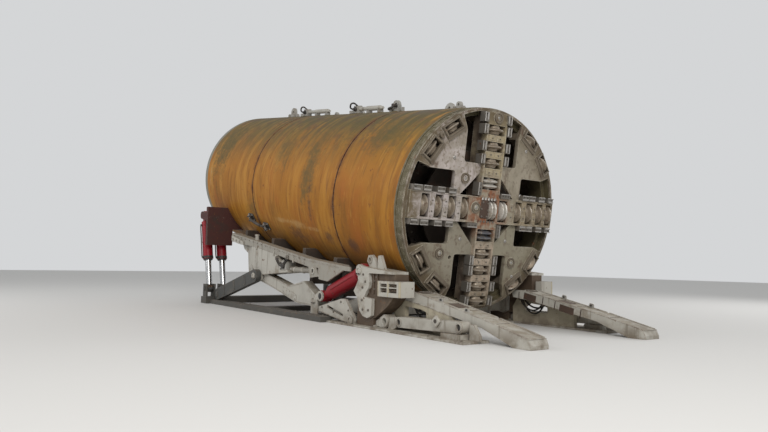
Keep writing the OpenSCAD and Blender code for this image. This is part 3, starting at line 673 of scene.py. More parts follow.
def side_place(side, at, out):
    """On a side frame: X forward, Y up, Z away from the middle of the machine."""
    origin = Vector((at[0] + FACE.x, side * out, at[1]))
    return basis(origin, Vector((1, 0, 0)), UP, Vector((0, side, 0)))


def level_place(x, y, z):
    """On the level: X forward, Z up; x is counted forward from the cutterhead's centre."""
    return Matrix.Translation((FACE.x + x, y, z))


def circle(radius, steps, level=0.0):
    """Points of a closed circle about a place's own Z axis."""
    turns = [2 * pi * k / steps for k in range(steps + 1)]
    return [(radius * cos(a), radius * sin(a), level) for a in turns]


def tapered(foot, top, low, high):
    """Outline with half a width at its foot and at its top, between two heights."""
    return ((-foot, low), (foot, low), (top, high), (-top, high))


def rectangle(x, y):
    """Corners at half a length and half a width."""
    return tapered(x, x, -y, y)


def turn_rings(mesh, place, profile, steps):
    """Rings of points about a place's own Z axis, one for each radius and height of a profile."""
    return [[mesh.verts.new(place @ Vector(p)) for p in circle(r, steps, h)[:-1]] for r, h in profile]


def join_rings(mesh, rings):
    """Joins rings of as many points each with faces."""
    for low, high in zip(rings, rings[1:]):
        for k in range(len(low)):
            mesh.faces.new((low[k - 1], low[k], high[k], high[k - 1]))


def close_rings(mesh, rings):
    """Joins rings and caps both ends."""
    join_rings(mesh, rings)
    mesh.faces.new(rings[0][::-1])
    mesh.faces.new(rings[-1])


def add_turned(mesh, place, profile, steps=24):
    """A turned part: radii and heights of its outline, swept about the place's own Z axis."""
    close_rings(mesh, turn_rings(mesh, place, profile, steps))


def add_collar(mesh, place, outer, inner, height):
    """A flat ring with a round hole."""
    profile = ((inner, 0.0), (outer, 0.0), (outer, height - EDGE), (outer - EDGE, height), (inner, height))
    rings = turn_rings(mesh, place, profile, 32)
    join_rings(mesh, rings + rings[:1])


def add_plate(mesh, place, outline, thick, edge=EDGE):
    """A plate cut to an outline, with its edges taken off."""
    rings = [[mesh.verts.new(place @ Vector((x, y, h))) for x, y in outline] for h in (0.0, thick)]
    close_rings(mesh, rings)
    edges = {e for ring in rings for v in ring for e in v.link_edges}
    bmesh.ops.bevel(mesh, geom=list(edges), offset=edge, segments=1, profile=0.5, affect="EDGES",
                    clamp_overlap=True)


def add_block(mesh, place, size, edge=0.005):
    """A block centred on its place in X and Y, standing up from it in Z."""
    add_plate(mesh, place, rectangle(size[0] / 2, size[1] / 2), size[2], edge)


def add_bolt(mesh, place, size):
    """A hexagon bolt head on its washer; size is half its width."""
    add_turned(mesh, place, ((1.25 * size, -0.003), (1.25 * size, 0.2 * size)), 14)
    add_turned(mesh, place, ((size, 0.2 * size), (size, 0.85 * size), (0.8 * size, size)), 6)


def add_socket_bolt(mesh, place, size):
    """A round bolt head with a hollow middle."""
    add_turned(mesh, place, ((size, -0.003), (size, 0.6 * size), (0.85 * size, 0.75 * size),
                             (0.5 * size, 0.75 * size), (0.45 * size, 0.2 * size)), 14)


def add_bolts(mesh, place, spots, level, size, head=add_bolt):
    """Bolts at several points of a place, all at one height above it."""
    for x, y in spots:
        head(mesh, moved(place, x, y, level), size)


def add_bolt_ring(mesh, place, radius, count, size):
    """Bolts spaced evenly on a circle."""
    for k in range(count):
        add_bolt(mesh, moved(turned(place, 360 * k / count), radius), size)


def smooth_line(points, each):
    """Points on a smooth curve through the given ones."""
    ends = [2 * points[0] - points[1]] + points + [2 * points[-1] - points[-2]]
    line = []
    for a, b, c, d in zip(ends, ends[1:], ends[2:], ends[3:]):
        for k in range(each):
            t = k / each
            line.append(0.5 * (2 * b + (c - a) * t + (2 * a - 5 * b + 4 * c - d) * t ** 2
                               + (3 * b - a - 3 * c + d) * t ** 3))
    return line + [ends[-2]]


def add_pipe(mesh, place, points, radius, steps=10, each=6, rough=0.0):
    """A round bar or pipe along a line, smoothed unless each is 1; rough makes it lumpy, as a weld is."""
    line = [place @ Vector(p) for p in points]
    if each > 1:
        line = smooth_line(line, each)
    side = None
    rings = []
    for k, at in enumerate(line):
        ahead = (line[min(k + 1, len(line) - 1)] - line[max(k - 1, 0)]).normalized()
        if side is None:
            side = ahead.orthogonal().normalized()
        side = (side - ahead * side.dot(ahead)).normalized()
        over = ahead.cross(side)
        size = radius * (1.0 + rough * soft_noise(at * 40.0))
        rings.append([mesh.verts.new(at + side * x + over * y) for x, y, _ in circle(size, steps)[:-1]])
    close_rings(mesh, rings)


def add_weld(mesh, place, points, radius=0.009):
    """A weld bead along points given by two or three numbers in a place's own coordinates."""
    spots = [Vector(p).to_3d() for p in points]
    line = []
    for first, second in zip(spots, spots[1:]):
        pieces = max(2, round((second - first).length / 0.05))
        line += [first.lerp(second, k / pieces) for k in range(pieces)]
    add_pipe(mesh, place, line + spots[-1:], radius, 6, 1, 0.5)


# Cutterhead
def walls_of(angle):
    """Middle and width of each wall between the pockets of an arm."""
    singles, twins, _ = ROWS[angle]
    pockets = sorted([(r, SINGLE_POCKET) for r in singles] + [(r, TWIN_POCKET) for r in twins if r > 0.2])
    for (r1, w1), (r2, w2) in zip(pockets, pockets[1:]):
        low, high = r1 + w1 / 2, r2 - w2 / 2
        yield (low + high) / 2, high - low


def add_arm_details():
    """Lock blocks and bolts on the walls, wear strips along both edges of each arm."""
    locks = tray("cutter_locks", "cutterhead", "arm")
    bolts = tray("cutter_lock_bolts", "cutterhead", "bolt")
    strips = tray("arm_wear_strips", "cutterhead", "arm")
    for angle in ROWS:
        for middle, width in walls_of(angle):
            for across in (-0.105, 0.105):
                seat = on_arm(angle, middle, across, ARM_FRONT - LET_IN)
                add_block(locks, seat, (min(0.085, width - 0.035), 0.15, 0.014))
                add_socket_bolt(bolts, moved(seat, z=0.014), 0.017)
        for across in (-0.259, 0.259):
            for start, end in ((0.33, 1.76), (1.80, 1.985)):
                seat = on_arm(angle, (start + end) / 2, across, ARM_FRONT - LET_IN)
                lean = degrees(atan2(face_fall(end) - face_fall(start), end - start))
                add_block(strips, turned(seat, lean, "Y"), (end - start, 0.020, 0.018))


def add_scraper_details():
    """Hard tips along the scrapers' cutting edges, and bolts through each block."""
    tips = tray("scraper_tips", "cutterhead", "tip")
    bolts = tray("scraper_bolts", "cutterhead", "dark")
    for angle, (_, _, scrapers) in ROWS.items():
        for flip in SIDES:
            for radius in scrapers:
                seat = on_arm(angle, radius, flip * 0.325, SCRAPER_FRONT)
                add_block(tips, moved(seat, 0, flip * 0.047, -0.002), (0.19, 0.02, 0.014), 0.004)
                add_block(tips, moved(seat, 0, -flip * 0.03, -0.003), (0.17, 0.036, 0.010), 0.004)
                pair = ((-0.055, flip * 0.016), (0.055, flip * 0.016))
                add_bolts(bolts, seat, pair, -0.002, 0.014, add_socket_bolt)
        seat = on_arm(angle, 0.425, 0.32, SCRAPER_FRONT)
        add_block(tips, moved(seat, 0, 0.037, -0.002), (0.26, 0.02, 0.014), 0.004)
        add_bolts(bolts, seat, ((-0.08, 0), (0, 0), (0.08, 0)), -0.002, 0.014, add_socket_bolt)


# Wear bosses: distance up and towards the near side, and height of the face there
BOSSES = ((1.89, 0.0, ARM_FRONT), (0.04, 0.36, ARM_FRONT), (0.60, 0.67, 0.0), (-0.92, 1.12, 0.0),
          (-1.08, -0.90, 0.0))
BOSS_R = 0.11


def add_boss_details():
    """An inner ring and a plug inside each wear boss, and a weld round its foot."""
    rings = tray("boss_rings", "cutterhead", "panel")
    plugs = tray("boss_plugs", "cutterhead", "tip")
    welds = tray("boss_welds", "cutterhead", "panel")
    plug = ((0.03, -0.002), (0.03, 0.014), (0.022, 0.02), (0.010, 0.02), (0.008, 0.006))
    for up, near, level in BOSSES:
        foot = moved(FACE_PLACE, up, near, level - face_fall(Vector((up, near)).length) / 2)
        seat = moved(foot, z=0.02)
        add_collar(rings, seat, 0.058, 0.036, 0.018)
        add_turned(plugs, seat, plug, 20)
        add_weld(welds, foot, circle(1.02 * BOSS_R, 20), 0.012)


def add_gauge_details():
    """Raised frames round the gauge cutters' windows, with bolts at their corners and a weld outside."""
    frames = tray("gauge_frames", "cutterhead", "housing")
    bolts = tray("gauge_bolts", "cutterhead", "bolt")
    welds = tray("gauge_welds", "cutterhead", "panel")
    bead = ((-0.158, -0.252, 0.02), (0.15, -0.252, -0.03), (0.15, 0.252, -0.03), (-0.158, 0.252, 0.02),
            (-0.158, -0.252, 0.02))
    for angle in GAUGE_ANGLES:
        seat = turned(on_arm(angle, GAUGE_R, level=0.035), degrees(atan2(DOME_SLOPE, 1)), "Y")
        for across in (-0.2225, 0.2225):
            add_block(frames, moved(seat, 0.03, across, -LET_IN), (0.245, 0.038, 0.024), 0.008)
            add_bolts(bolts, seat, ((-0.06, across), (0.12, across)), 0.02, 0.011, add_socket_bolt)
        for along in (-0.078, 0.138):
            add_block(frames, moved(seat, along, 0, -LET_IN), (0.022, 0.42, 0.022), 0.007)
        add_weld(welds, on_arm(angle, GAUGE_R, level=-LET_IN), bead, 0.013)


def add_centre_details():
    """Bolted cover over the middle of the cross, a row of small teeth above it, bolts below."""
    cover = tray("centre_cover", "cutterhead", "hatch")
    bolts = tray("centre_bolts", "cutterhead", "bolt")
    teeth = tray("centre_teeth", "cutterhead", "tip")
    front = moved(FACE_PLACE, z=ARM_FRONT - 0.003)
    seat = moved(front, y=0.115)
    add_plate(cover, seat, ((-0.17, -0.09), (-0.12, -0.115), (0.17, -0.115), (0.2, -0.06), (0.2, 0.10),
                            (-0.13, 0.115), (-0.17, 0.08)), 0.022, 0.006)
    holes = ((-0.13, -0.07), (0.0, -0.09), (0.14, -0.08), (0.16, 0.06), (0.02, 0.085), (-0.13, 0.07))
    add_bolts(bolts, seat, holes, 0.022, 0.017)
    tooth = ((-0.03, -0.032), (0.03, -0.022), (0.03, 0.022), (-0.03, 0.032))
    for k in range(5):
        add_plate(teeth, moved(front, 0.232, 0.19 - 0.085 * k), tooth, 0.034, 0.008)
        add_bolt(bolts, moved(front, -0.236, 0.17 - 0.085 * k), 0.02)


# Spray nozzles: distance up and towards the near side
NOZZLES = ((0.36, -0.95), (-0.62, 0.62), (0.98, 1.0), (-0.62, -0.66), (-1.38, -0.98), (1.32, -0.98))


def add_spray_nozzles():
    """Spray nozzles in the panels."""
    nozzles = tray("spray_nozzles", "cutterhead", "tip")
    nozzle = ((0.036, -0.01), (0.036, 0.012), (0.026, 0.02), (0.012, 0.02), (0.01, 0.0))
    for up, near in NOZZLES:
        add_turned(nozzles, moved(FACE_PLACE, up, near), nozzle, 18)


RIM_BARS = 48


def add_rim_details():
    """Wear bars round the side of the cutterhead, with weld beads in front of them."""
    bars = tray("rim_wear_bars", "cutterhead", "rim")
    beads = tray("rim_beads", "cutterhead", "rim")
    for k in range(RIM_BARS):
        seat = moved(turned(FACE_PLACE, 360 * (k + 0.5) / RIM_BARS), HEAD_R - LET_IN, 0, -0.205)
        add_block(bars, turned(seat, 90, "Y"), (0.07, 0.15, 0.012), 0.004)
    for depth in (0.125, 0.15):
        add_pipe(beads, FACE_PLACE, circle(HEAD_R + 0.001, 180, -depth), 0.006, 5, 1, 0.6)


# Shield
# Lifting lugs: station, angle from the top and half the length
BIG_LUG = (3.2, 6, 0.26)
LUGS = ((2.05, -12, 0.3), BIG_LUG, (1.0, 4, 0.15), (5.6, -8, 0.18), (7.0, -8, 0.18), (9.2, 0, 0.3))


def add_lug_details():
    """Gussets and welds beside the lifting lugs."""
    pads = tray("lug_pads", "machine", "lug")
    welds = tray("lug_welds", "machine", "shield")
    for station, around, half in LUGS:
        foot = shell_place(station, around)
        rib = tapered(0.012, 0.012, 0.0, 0.35 * half)
        for flip in SIDES:
            add_weld(welds, foot, ((-half, flip * 0.04, 0.002), (half, flip * 0.04, 0.002)), 0.014)
            for along in (-0.6 * half, 0.6 * half):
                gusset = turned(moved(foot, along, flip * 0.035, -0.01), 90, "X")
                add_plate(pads, gusset, rib, -flip * 0.07, 0.003)


def add_shackle():
    """The shackle through the big lug."""
    shackle = tray("lug_shackle", "machine", "dark")
    station, around, _ = BIG_LUG
    hole = shell_place(station, around, 0.143)
    bow = ((0.0, 0.075, 0.0), (-0.05, 0.10, -0.03), (-0.17, 0.13, -0.07), (-0.26, 0.03, -0.09),
           (-0.27, -0.03, -0.09), (-0.17, -0.13, -0.07), (-0.05, -0.10, -0.03), (0.0, -0.075, 0.0))
    add_pipe(shackle, hole, bow, 0.028)
    pin = turned(moved(hole, y=0.11), 90, "X")
    add_turned(shackle, pin, ((0.034, 0.0), (0.034, 0.22), (0.05, 0.22), (0.05, 0.25)), 16)


def add_top_rods():
    """Two tie rods lying along the top of the shell, each with a clamp at its rear end."""
    rods = tray("top_rods", "machine", "cradle")
    clamps = tray("top_rod_clamps", "machine", "lug")
    darks = tray("top_rod_pins", "machine", "dark")
    knob = ((0.06, 0.0), (0.06, 0.03), (0.035, 0.04), (0.035, 0.07), (0.02, 0.08))
    hook = ((0.05, -0.05, 0.08), (0.0, -0.12, 0.15), (-0.12, -0.14, 0.14), (-0.2, -0.12, 0.05),
            (-0.14, -0.09, 0.0))
    for front, rear in ((3.62, 4.78), (6.28, 7.6)):
        start = shell_place(front, 9, 0.11)
        end = shell_place(rear, 9, 0.11)
        long = rear - front
        bar = ((0.03, 0.0), (0.042, 0.03), (0.042, 0.10), (0.062, 0.12), (0.062, long * 0.62),
               (0.05, long * 0.64), (0.05, long - 0.05), (0.035, long))
        add_turned(rods, turned(start, -90, "Y"), bar, 20)
        add_block(clamps, moved(end, z=-0.12), (0.20, 0.17, 0.21), 0.02)
        add_plate(clamps, moved(end, -0.2, -0.09, -0.12), tapered(0.12, 0.12, 0.0, 0.18), 0.09, 0.015)
        for flip in SIDES:
            add_turned(darks, turned(moved(end, y=flip * 0.085), -90 * flip, "X"), knob, 18)
        for along in (0.14, long * 0.55):
            foot = moved(start, -along, 0, -0.115)
            add_block(clamps, foot, (0.07, 0.16, 0.08), 0.01)
            add_bolts(darks, foot, ((0, 0.06), (0, -0.06)), 0.08, 0.016)
        add_pipe(darks, end, hook, 0.022)


def add_seam_clamps():
    """The hinged clamp across the tail seam, low on each side of the shell."""
    pads = tray("seam_clamp_pads", "machine", "dark")
    arms = tray("seam_clamp_links", "machine", "dark")
    bright = tray("seam_clamp_pins", "machine", "tip")
    for side in SIDES:
        rear = shell_place(7.5, side * 119.5)
        front = shell_place(6.65, side * 124.5)
        for foot in (rear, front):
            add_block(pads, moved(foot, z=-0.012), (0.30, 0.22, 0.04), 0.01)
            for flip in SIDES:
                ear = turned(moved(foot, 0, flip * 0.055, 0.02), 90, "X")
                add_plate(pads, ear, tapered(0.10, 0.05, 0.0, 0.12), -flip * 0.025, 0.006)
            pin = turned(moved(foot, 0, 0.10, 0.085), 90, "X")
            add_turned(bright, pin, ((0.03, 0.0), (0.03, 0.2), (0.02, 0.21)), 14)
            add_bolts(bright, foot, rectangle(0.12, 0.08), 0.028, 0.015)
        first, last = (foot @ Vector((0, 0, 0.09)) for foot in (rear, front))
        outward = (rear.col[2] * 0.035).to_3d()
        bowed = [first.lerp(last, t) + outward * sin(pi * t) for t in (0.0, 0.25, 0.5, 0.75, 1.0)]
        add_pipe(arms, WORLD, bowed, 0.026)
        add_pipe(arms, WORLD, bowed[1:4], 0.042, 8)


# Inside the shell: stations of the faces that carry bolts, of the ring main and of the shoes
DRIVE_FRONT = 1.011
BULKHEAD_FRONT = 1.461
THRUST_RING_BACK = 3.829
MAIN_AT = 3.95
SHOE_BACK = 7.049
# Thrust cylinders: how many, the radius of their ring, and of the ring main that feeds them
THRUST_COUNT = 14
THRUST_R = 1.825
MAIN_R = 1.56


def add_inside_details():
    """Bolts on bulkhead, drive and thrust ring, a ring main with feeds to the barrels, pads on the shoes."""
    bolts = tray("bulkhead_bolts", "machine", "bolt")
    pipes = tray("thrust_ring_main", "machine", "dark")
    pads = tray("thrust_shoe_pads", "thrust", "hose")
    add_bolt_ring(bolts, moved(FACE_PLACE, z=-BULKHEAD_FRONT), 1.43, 36, 0.022)
    add_bolt_ring(bolts, moved(FACE_PLACE, z=-DRIVE_FRONT), 1.24, 36, 0.024)
    add_bolt_ring(bolts, turned(moved(FACE_PLACE, z=-THRUST_RING_BACK), 180, "X"), 1.43, 36, 0.022)
    add_pipe(pipes, FACE_PLACE, circle(MAIN_R, 60, -MAIN_AT), 0.028, 8, 1)
    feed = ((MAIN_R, 0, -MAIN_AT), (1.58, 0, -4.08), (1.66, 0, -4.14), (1.72, 0, -4.15))
    for k in range(THRUST_COUNT):
        spot = turned(FACE_PLACE, 360 * (k + 0.5) / THRUST_COUNT)
        add_pipe(pipes, spot, feed, 0.016, 8)
        shoe = turned(moved(spot, THRUST_R, 0, -SHOE_BACK), 180, "X")
        add_turned(pads, shoe, ((0.118, -0.005), (0.118, 0.03), (0.11, 0.038)))


# Side frames
def add_pin_cap(side, at, out, radius, body, name):
    """A round cap over the end of a pin, with a keeper plate and two bolts."""
    seat = side_place(side, at, out)
    cap = ((radius, -0.012), (radius, 0.018), (0.88 * radius, 0.026), (0.5 * radius, 0.026),
           (0.46 * radius, 0.012))
    add_turned(tray(name, body, "cradle"), seat, cap, 28)
    keeper = moved(seat, 0, -0.72 * radius, 0.018)
    size = (1.3 * radius, 0.32 * radius, 0.014)
    add_block(tray("keeper_plates_" + body, body, "bolt"), keeper, size, 0.003)
    ends = ((-0.42 * radius, 0), (0.42 * radius, 0))
    add_bolts(tray("keeper_bolts_" + body, body, "dark"), keeper, ends, 0.014, 0.013)


def add_open_pin(side, at, out, radius, hole, body, name):
    """A bored boss with the dark end of its pin set back inside."""
    seat = side_place(side, at, out)
    add_collar(tray(name, body, "cradle"), moved(seat, z=-LET_IN), radius, hole, 0.02)
    add_turned(tray("set_back_pins_" + body, body, "dark"), moved(seat, z=-0.05),
               ((hole * 0.95, 0.0), (hole * 0.95, 0.03), (hole * 0.6, 0.034), (hole * 0.3, 0.03)))


# Outer faces of the side frames, as distances from the middle
RAIL_OUT = 2.086
DRUM_COVER_OUT = 2.0597
FIN_OUT = 2.125
LINK_OUT = 2.008
FRONT_LINK_OUT = 2.0
SLOT_CHEEK_OUT = 2.115
# Upper edge of the rail: its ends, distance forward and height
RAIL_REAR = (-8.39, 2.11)
RAIL_FRONT = (-3.69, 1.374)
RAIL_FALL = (RAIL_FRONT[1] - RAIL_REAR[1]) / (RAIL_FRONT[0] - RAIL_REAR[0])


def add_rail_details(side):
    """Pins, flange bolts, stiffeners and welds along a rail."""
    bolts = tray("rail_bolts", "machine", "bolt")
    ribs = tray("rail_ribs", "machine", "cradle")
    welds = tray("rail_welds", "machine", "cradle")
    add_pin_cap(side, APEX, 2.246, 0.085, "machine", "apex_caps")
    add_pin_cap(side, FRONT_TOP, 2.126, 0.095, "machine", "front_pin_caps")
    add_open_pin(side, (-3.47, 1.09), RAIL_OUT, 0.085, 0.05, "machine", "rail_bosses")
    for at in ((-3.92, 1.285), (-4.27, 1.335)):
        add_open_pin(side, at, RAIL_OUT, 0.045, 0.026, "machine", "rail_bosses")
    for k in range(17):
        x = -8.2 + 0.27 * k
        z = RAIL_REAR[1] + (x - RAIL_REAR[0]) * RAIL_FALL - 0.05
        add_bolt(bolts, side_place(side, (x, z), RAIL_OUT), 0.016)
        if k % 4 == 2:
            rib = turned(side_place(side, (x, z - 0.04), RAIL_OUT - 0.001), degrees(atan2(RAIL_FALL, 1)))
            add_plate(ribs, rib, tapered(0.012, 0.012, -0.13, 0.0), 0.035, 0.003)
    seam = ((-8.38, 2.062), (-3.69, 1.33), (-2.32, 1.19))
    add_weld(welds, side_place(side, (0, 0), RAIL_OUT + 0.002), seam, 0.008)
    hanging = ((-6.94, 1.21), (-6.56, 0.915), (-5.8, 0.975), (-4.62, 1.042))
    add_weld(welds, side_place(side, (0, 0), RAIL_OUT + 0.001), hanging)


def add_rail_corner(side):
    """Rear corner of a rail: a stepped bracket with bores and an upright tube; bands round the long tube."""
    ribs = tray("rail_ribs", "machine", "cradle")
    tubes = tray("rail_tubes", "machine", "cradle")
    outline = ((-0.42, -0.02), (0.10, -0.12), (0.42, -0.16), (0.42, -0.06), (0.1, 0.02), (-0.42, 0.14))
    add_plate(ribs, side_place(side, (-7.9, 1.9), RAIL_OUT), outline, 0.045, 0.006)
    for at in ((-8.2, 1.93), (-7.95, 1.885), (-7.7, 1.84)):
        add_open_pin(side, at, 2.131, 0.042, 0.024, "machine", "rail_bosses")
    upright = ((0.05, 0.0), (0.05, 0.24), (0.065, 0.24), (0.065, 0.28), (0.04, 0.29))
    add_turned(tubes, level_place(-6.85, side * 1.98, 1.74), upright, 20)
    for x in (-4.55, -4.15):
        band = turned(level_place(x, side * 1.945, 1.10), 90, "Y")
        add_turned(tubes, band, ((0.078, -0.03), (0.082, -0.02), (0.082, 0.02), (0.078, 0.03)))


def add_valve_block(side):
    """Valve block between the hanging plate and the tube."""
    valves = tray("rail_valves", "machine", "lug")
    darks = tray("rail_valve_caps", "machine", "dark")
    block = side_place(side, (-4.98, 1.19), 1.80)
    add_block(valves, block, (0.30, 0.24, 0.30), 0.02)
    cap = ((0.075, 0.0), (0.075, 0.04), (0.05, 0.05), (0.02, 0.05))
    add_turned(darks, moved(block, 0.03, 0.0, 0.30), cap)
    add_bolts(darks, block, ((-0.11, -0.08), (-0.11, 0.08), (0.12, 0.09)), 0.30, 0.018)
    add_block(valves, moved(block, -0.17, 0.10, 0.05), (0.14, 0.10, 0.18), 0.012)


def add_window_box(side):
    """Posts and cross bars of the box with two windows."""
    bars = tray("window_bars", "machine", "box")
    braces = tray("window_braces", "machine", "drum")
    for x in (-0.755, -0.435, -0.075):
        add_turned(bars, level_place(x, side * 2.118, 0.655), ((0.024, 0.0), (0.024, 0.29)), 12)
    for low, high in ((-0.69, -0.47), (-0.43, -0.15)):
        for z in (0.775, 0.87):
            for lean in (-0.03, 0.03):
                ends = ((low - 0.01, 0.0, z - lean), (high + 0.01, 0.0, z + lean))
                add_pipe(braces, level_place(0.0, side * 2.10, 0.0), ends, 0.009, 6, 1)


def add_drum_housing(side):
    """Ribs and bolts of the drum's brown housing, bolts of the fin, rings on the ears."""
    bolts = tray("rail_bolts", "machine", "bolt")
    ribs = tray("drum_ribs", "machine", "drum")
    for x in (-1.14, -1.0, -0.86):
        rib = tapered(0.014, 0.014, 0.68, 1.07)
        add_plate(ribs, side_place(side, (x, 0.0), DRUM_COVER_OUT), rib, 0.028)
    spots = ((-0.99, 0.94), (-0.99, 0.78), (-0.91, 1.02))
    add_bolts(bolts, side_place(side, (0, 0), DRUM_COVER_OUT), spots, 0, 0.02)
    fin = ((-1.30, 1.06), (-1.22, 0.92), (-1.32, 0.80), (-1.33, 0.55), (-1.30, 0.36), (-1.10, 0.36))
    add_bolts(bolts, side_place(side, (0, 0), FIN_OUT), fin, 0, 0.022)
    for out, turn in ((1.985, 0), (1.915, 180)):
        ear = turned(side_place(side, (-1.27, 1.36), out), turn, "X")
        add_collar(tray("ear_rings", "machine", "cradle"), ear, 0.075, 0.044, 0.012)


def add_cylinder_pins(side):
    """Pins under the eyes of the cylinders: a slim one in front, stubs in the cheeks behind."""
    pins = tray("clevis_pins", "base", "dark")
    slim = ((0.052, 0.0), (0.052, 0.24), (0.085, 0.24), (0.085, 0.27), (0.06, 0.28))
    add_turned(pins, side_place(side, FRONT_LOW, 1.78), slim)
    stub = ((0.055, 0.0), (0.055, 0.062), (0.078, 0.063), (0.078, 0.080), (0.06, 0.084))
    for out in LIFT_SIDES:
        for flip, turn in ((-1, 180), (1, 0)):
            cheek = side_place(side, LIFT_LOW, out + flip * 0.085)
            add_turned(pins, turned(cheek, turn, "X"), stub)


def add_base_pins(side):
    """Pins and rings of the base, and the diamond lug of the front link."""
    add_pin_cap(side, LINK_PIN, 2.056, 0.09, "base", "link_pin_caps")
    add_open_pin(side, SLOT_PIN, 2.136, 0.10, 0.056, "base", "slot_pin_rings")
    for at in ((-0.24, 0.19), (1.43, 0.24)):
        add_open_pin(side, at, FRONT_LINK_OUT, 0.082, 0.058, "base", "front_link_rings")
    eye = side_place(side, (-0.7, 0.17), FRONT_LINK_OUT)
    add_collar(tray("tow_eye_rings", "base", "cradle"), eye, 0.115, 0.062, 0.015)
    lug = side_place(side, (0.86, 0.285), FRONT_LINK_OUT)
    diamond = ((-0.11, 0.02), (0.02, -0.10), (0.13, 0.02), (0.02, 0.13))
    add_plate(tray("base_ribs", "base", "cradle"), lug, diamond, 0.05, 0.012)
    add_turned(tray("lug_eyes", "base", "dark"), moved(lug, 0.02, 0.02, 0.05),
               ((0.035, -0.002), (0.035, 0.012), (0.02, 0.012)), 16)


def add_base_bolts(side):
    """Bolts, cleats and welds of the base."""
    bolts = tray("base_bolts", "base", "bolt")
    cleats = tray("base_ribs", "base", "cradle")
    ground = level_place(0, 0, 0)
    add_bolts(bolts, ground, [(x, side * 2.14) for x in (-2.45, -1.9, -0.95, 0.3, 0.8, 1.65)], 0.04, 0.022)
    feet = [(x, side * y) for x in (1.12, 1.45) for y in (1.80, 2.06)]
    add_bolts(bolts, ground, feet, 0.127, 0.018)
    cheek = ((-2.95, 0.30), (-2.15, 0.46), (-1.85, 0.30), (-2.45, 0.23))
    add_bolts(bolts, side_place(side, (0, 0), SLOT_CHEEK_OUT), cheek, 0, 0.018)
    add_weld(tray("base_welds", "base", "cradle"), side_place(side, (0, 0), SLOT_CHEEK_OUT + 0.002),
             ((-3.08, 0.215), (-1.9, 0.055)), 0.008)
    for x in (-1.62, -1.0):
        for out in (1.80, 2.0):
            cleat = level_place(x, side * out, 0.04)
            add_block(cleats, cleat, (0.10, 0.10, 0.03), 0.006)
            add_bolt(bolts, moved(cleat, z=0.03), 0.02)
    # The skid is left bare where the feet of the rear legs slide
    skid = [(x, side * 2.2 + across) for x in (-6.9, -5.2, -4.2, -2.9) for across in (-0.09, 0.09)]
    add_bolts(bolts, ground, skid, 0.12, 0.02)


# Ramps: distance forward and height along the top, and distances of their faces from the middle
RAMP_TOP = ((-0.52, 0.74), (-0.07, 0.74), (1.69, 0.39), (2.70, 0.16), (2.75, 0.06))
RAMP_MIDDLE = 1.515
RAMP_INNER = 1.3035
RAMP_OUTER = 1.727


def ramp_at(x):
    """Height of the ramp's top at a distance forward, and how steep it is in degrees."""
    for (x1, z1), (x2, z2) in zip(RAMP_TOP, RAMP_TOP[1:]):
        if x <= x2:
            return z1 + (z2 - z1) * (x - x1) / (x2 - x1), degrees(atan2(z1 - z2, x2 - x1))
    return RAMP_TOP[-1][1], 0.0


def on_ramp(side, x, out):
    """On a ramp's top: X down the slope, Y away from the middle, Z up."""
    height, slope = ramp_at(x)
    flat = basis(Vector((FACE.x + x, side * out, height)), Vector((1, 0, 0)), Vector((0, side, 0)), UP)
    return turned(flat, slope, "Y")


def add_ramp_plates(side):
    """Seams, hatches and edge bars on the top of a ramp, hatches and seams on its inner face."""
    plates = tray("ramp_plates", "base", "cradle")
    hatches = tray("ramp_hatches", "base", "hatch")
    seams = tray("ramp_seams", "base", "seam")
    for x in (0.28, 1.18, 1.95):
        add_block(seams, moved(on_ramp(side, x, RAMP_MIDDLE), z=-0.002), (0.014, 0.415, 0.004), 0.001)
    for x, long in ((-0.18, 0.34), (0.86, 0.30)):
        hatch = on_ramp(side, x, 1.49)
        add_block(hatches, moved(hatch, z=-LET_IN), (long, 0.24, 0.012), 0.003)
        add_bolts(tray("base_bolts", "base", "bolt"), hatch, rectangle(0.4 * long, 0.10), 0.008, 0.012)
    for x, long in ((0.05, 0.34), (1.02, 0.36)):
        hatch = turned(moved(on_ramp(side, x, RAMP_INNER), z=-0.105), 90, "X")
        add_block(hatches, hatch, (long, 0.14, 0.008), 0.002)
    for x in (-0.28, 0.40, 0.72, 1.36):
        seam = turned(moved(on_ramp(side, x, RAMP_INNER), z=-0.1), 90, "X")
        add_block(seams, seam, (0.016, 0.18, 0.006), 0.001)
    for out in (1.32, 1.71):
        for start, end in ((-0.48, -0.10), (-0.04, 1.67), (1.71, 2.68)):
            middle = (start + end) / 2
            long = (end - start) / cos(radians(ramp_at(middle)[1]))
            add_block(plates, moved(on_ramp(side, middle, out), z=-LET_IN), (long, 0.03, 0.022), 0.006)


def add_ramp_ends(side):
    """Small lugs on a ramp, the cheeks and bar at its tip, and the weld along its side."""
    plates = tray("ramp_plates", "base", "cradle")
    for x in (0.62, 1.30):
        lug = on_ramp(side, x, 1.70)
        ear = turned(moved(lug, y=0.012), 90, "X")
        add_plate(tray("ramp_lugs", "base", "lug"), ear, tapered(0.07, 0.045, 0.0, 0.085), 0.028, 0.006)
        add_turned(tray("ramp_lug_pins", "base", "dark"), turned(moved(lug, 0, 0.03, 0.05), 90, "X"),
                   ((0.02, 0.0), (0.02, 0.06), (0.012, 0.065)), 12)
    tip = level_place(2.70, side * RAMP_MIDDLE, 0.0)
    for out in (-0.188, 0.212):
        cheek = ((-0.14, 0.0), (0.048, 0.0), (0.048, 0.06), (-0.02, 0.155), (-0.14, 0.185))
        add_plate(plates, turned(moved(tip, y=out), 90, "X"), cheek, 0.024)
    add_block(plates, moved(tip, -0.03, 0, 0.155), (0.09, 0.40, 0.012), 0.003)
    bead = ((-0.45, 0.592), (0.1, 0.528), (0.92, 0.378))
    add_weld(tray("base_welds", "base", "cradle"), side_place(side, (0, 0), RAMP_OUTER), bead, 0.008)


# Cylinders
# Radii where collars start, a little inside the barrels' own
LIFT_TUBE = 0.149
FRONT_TUBE = 0.139
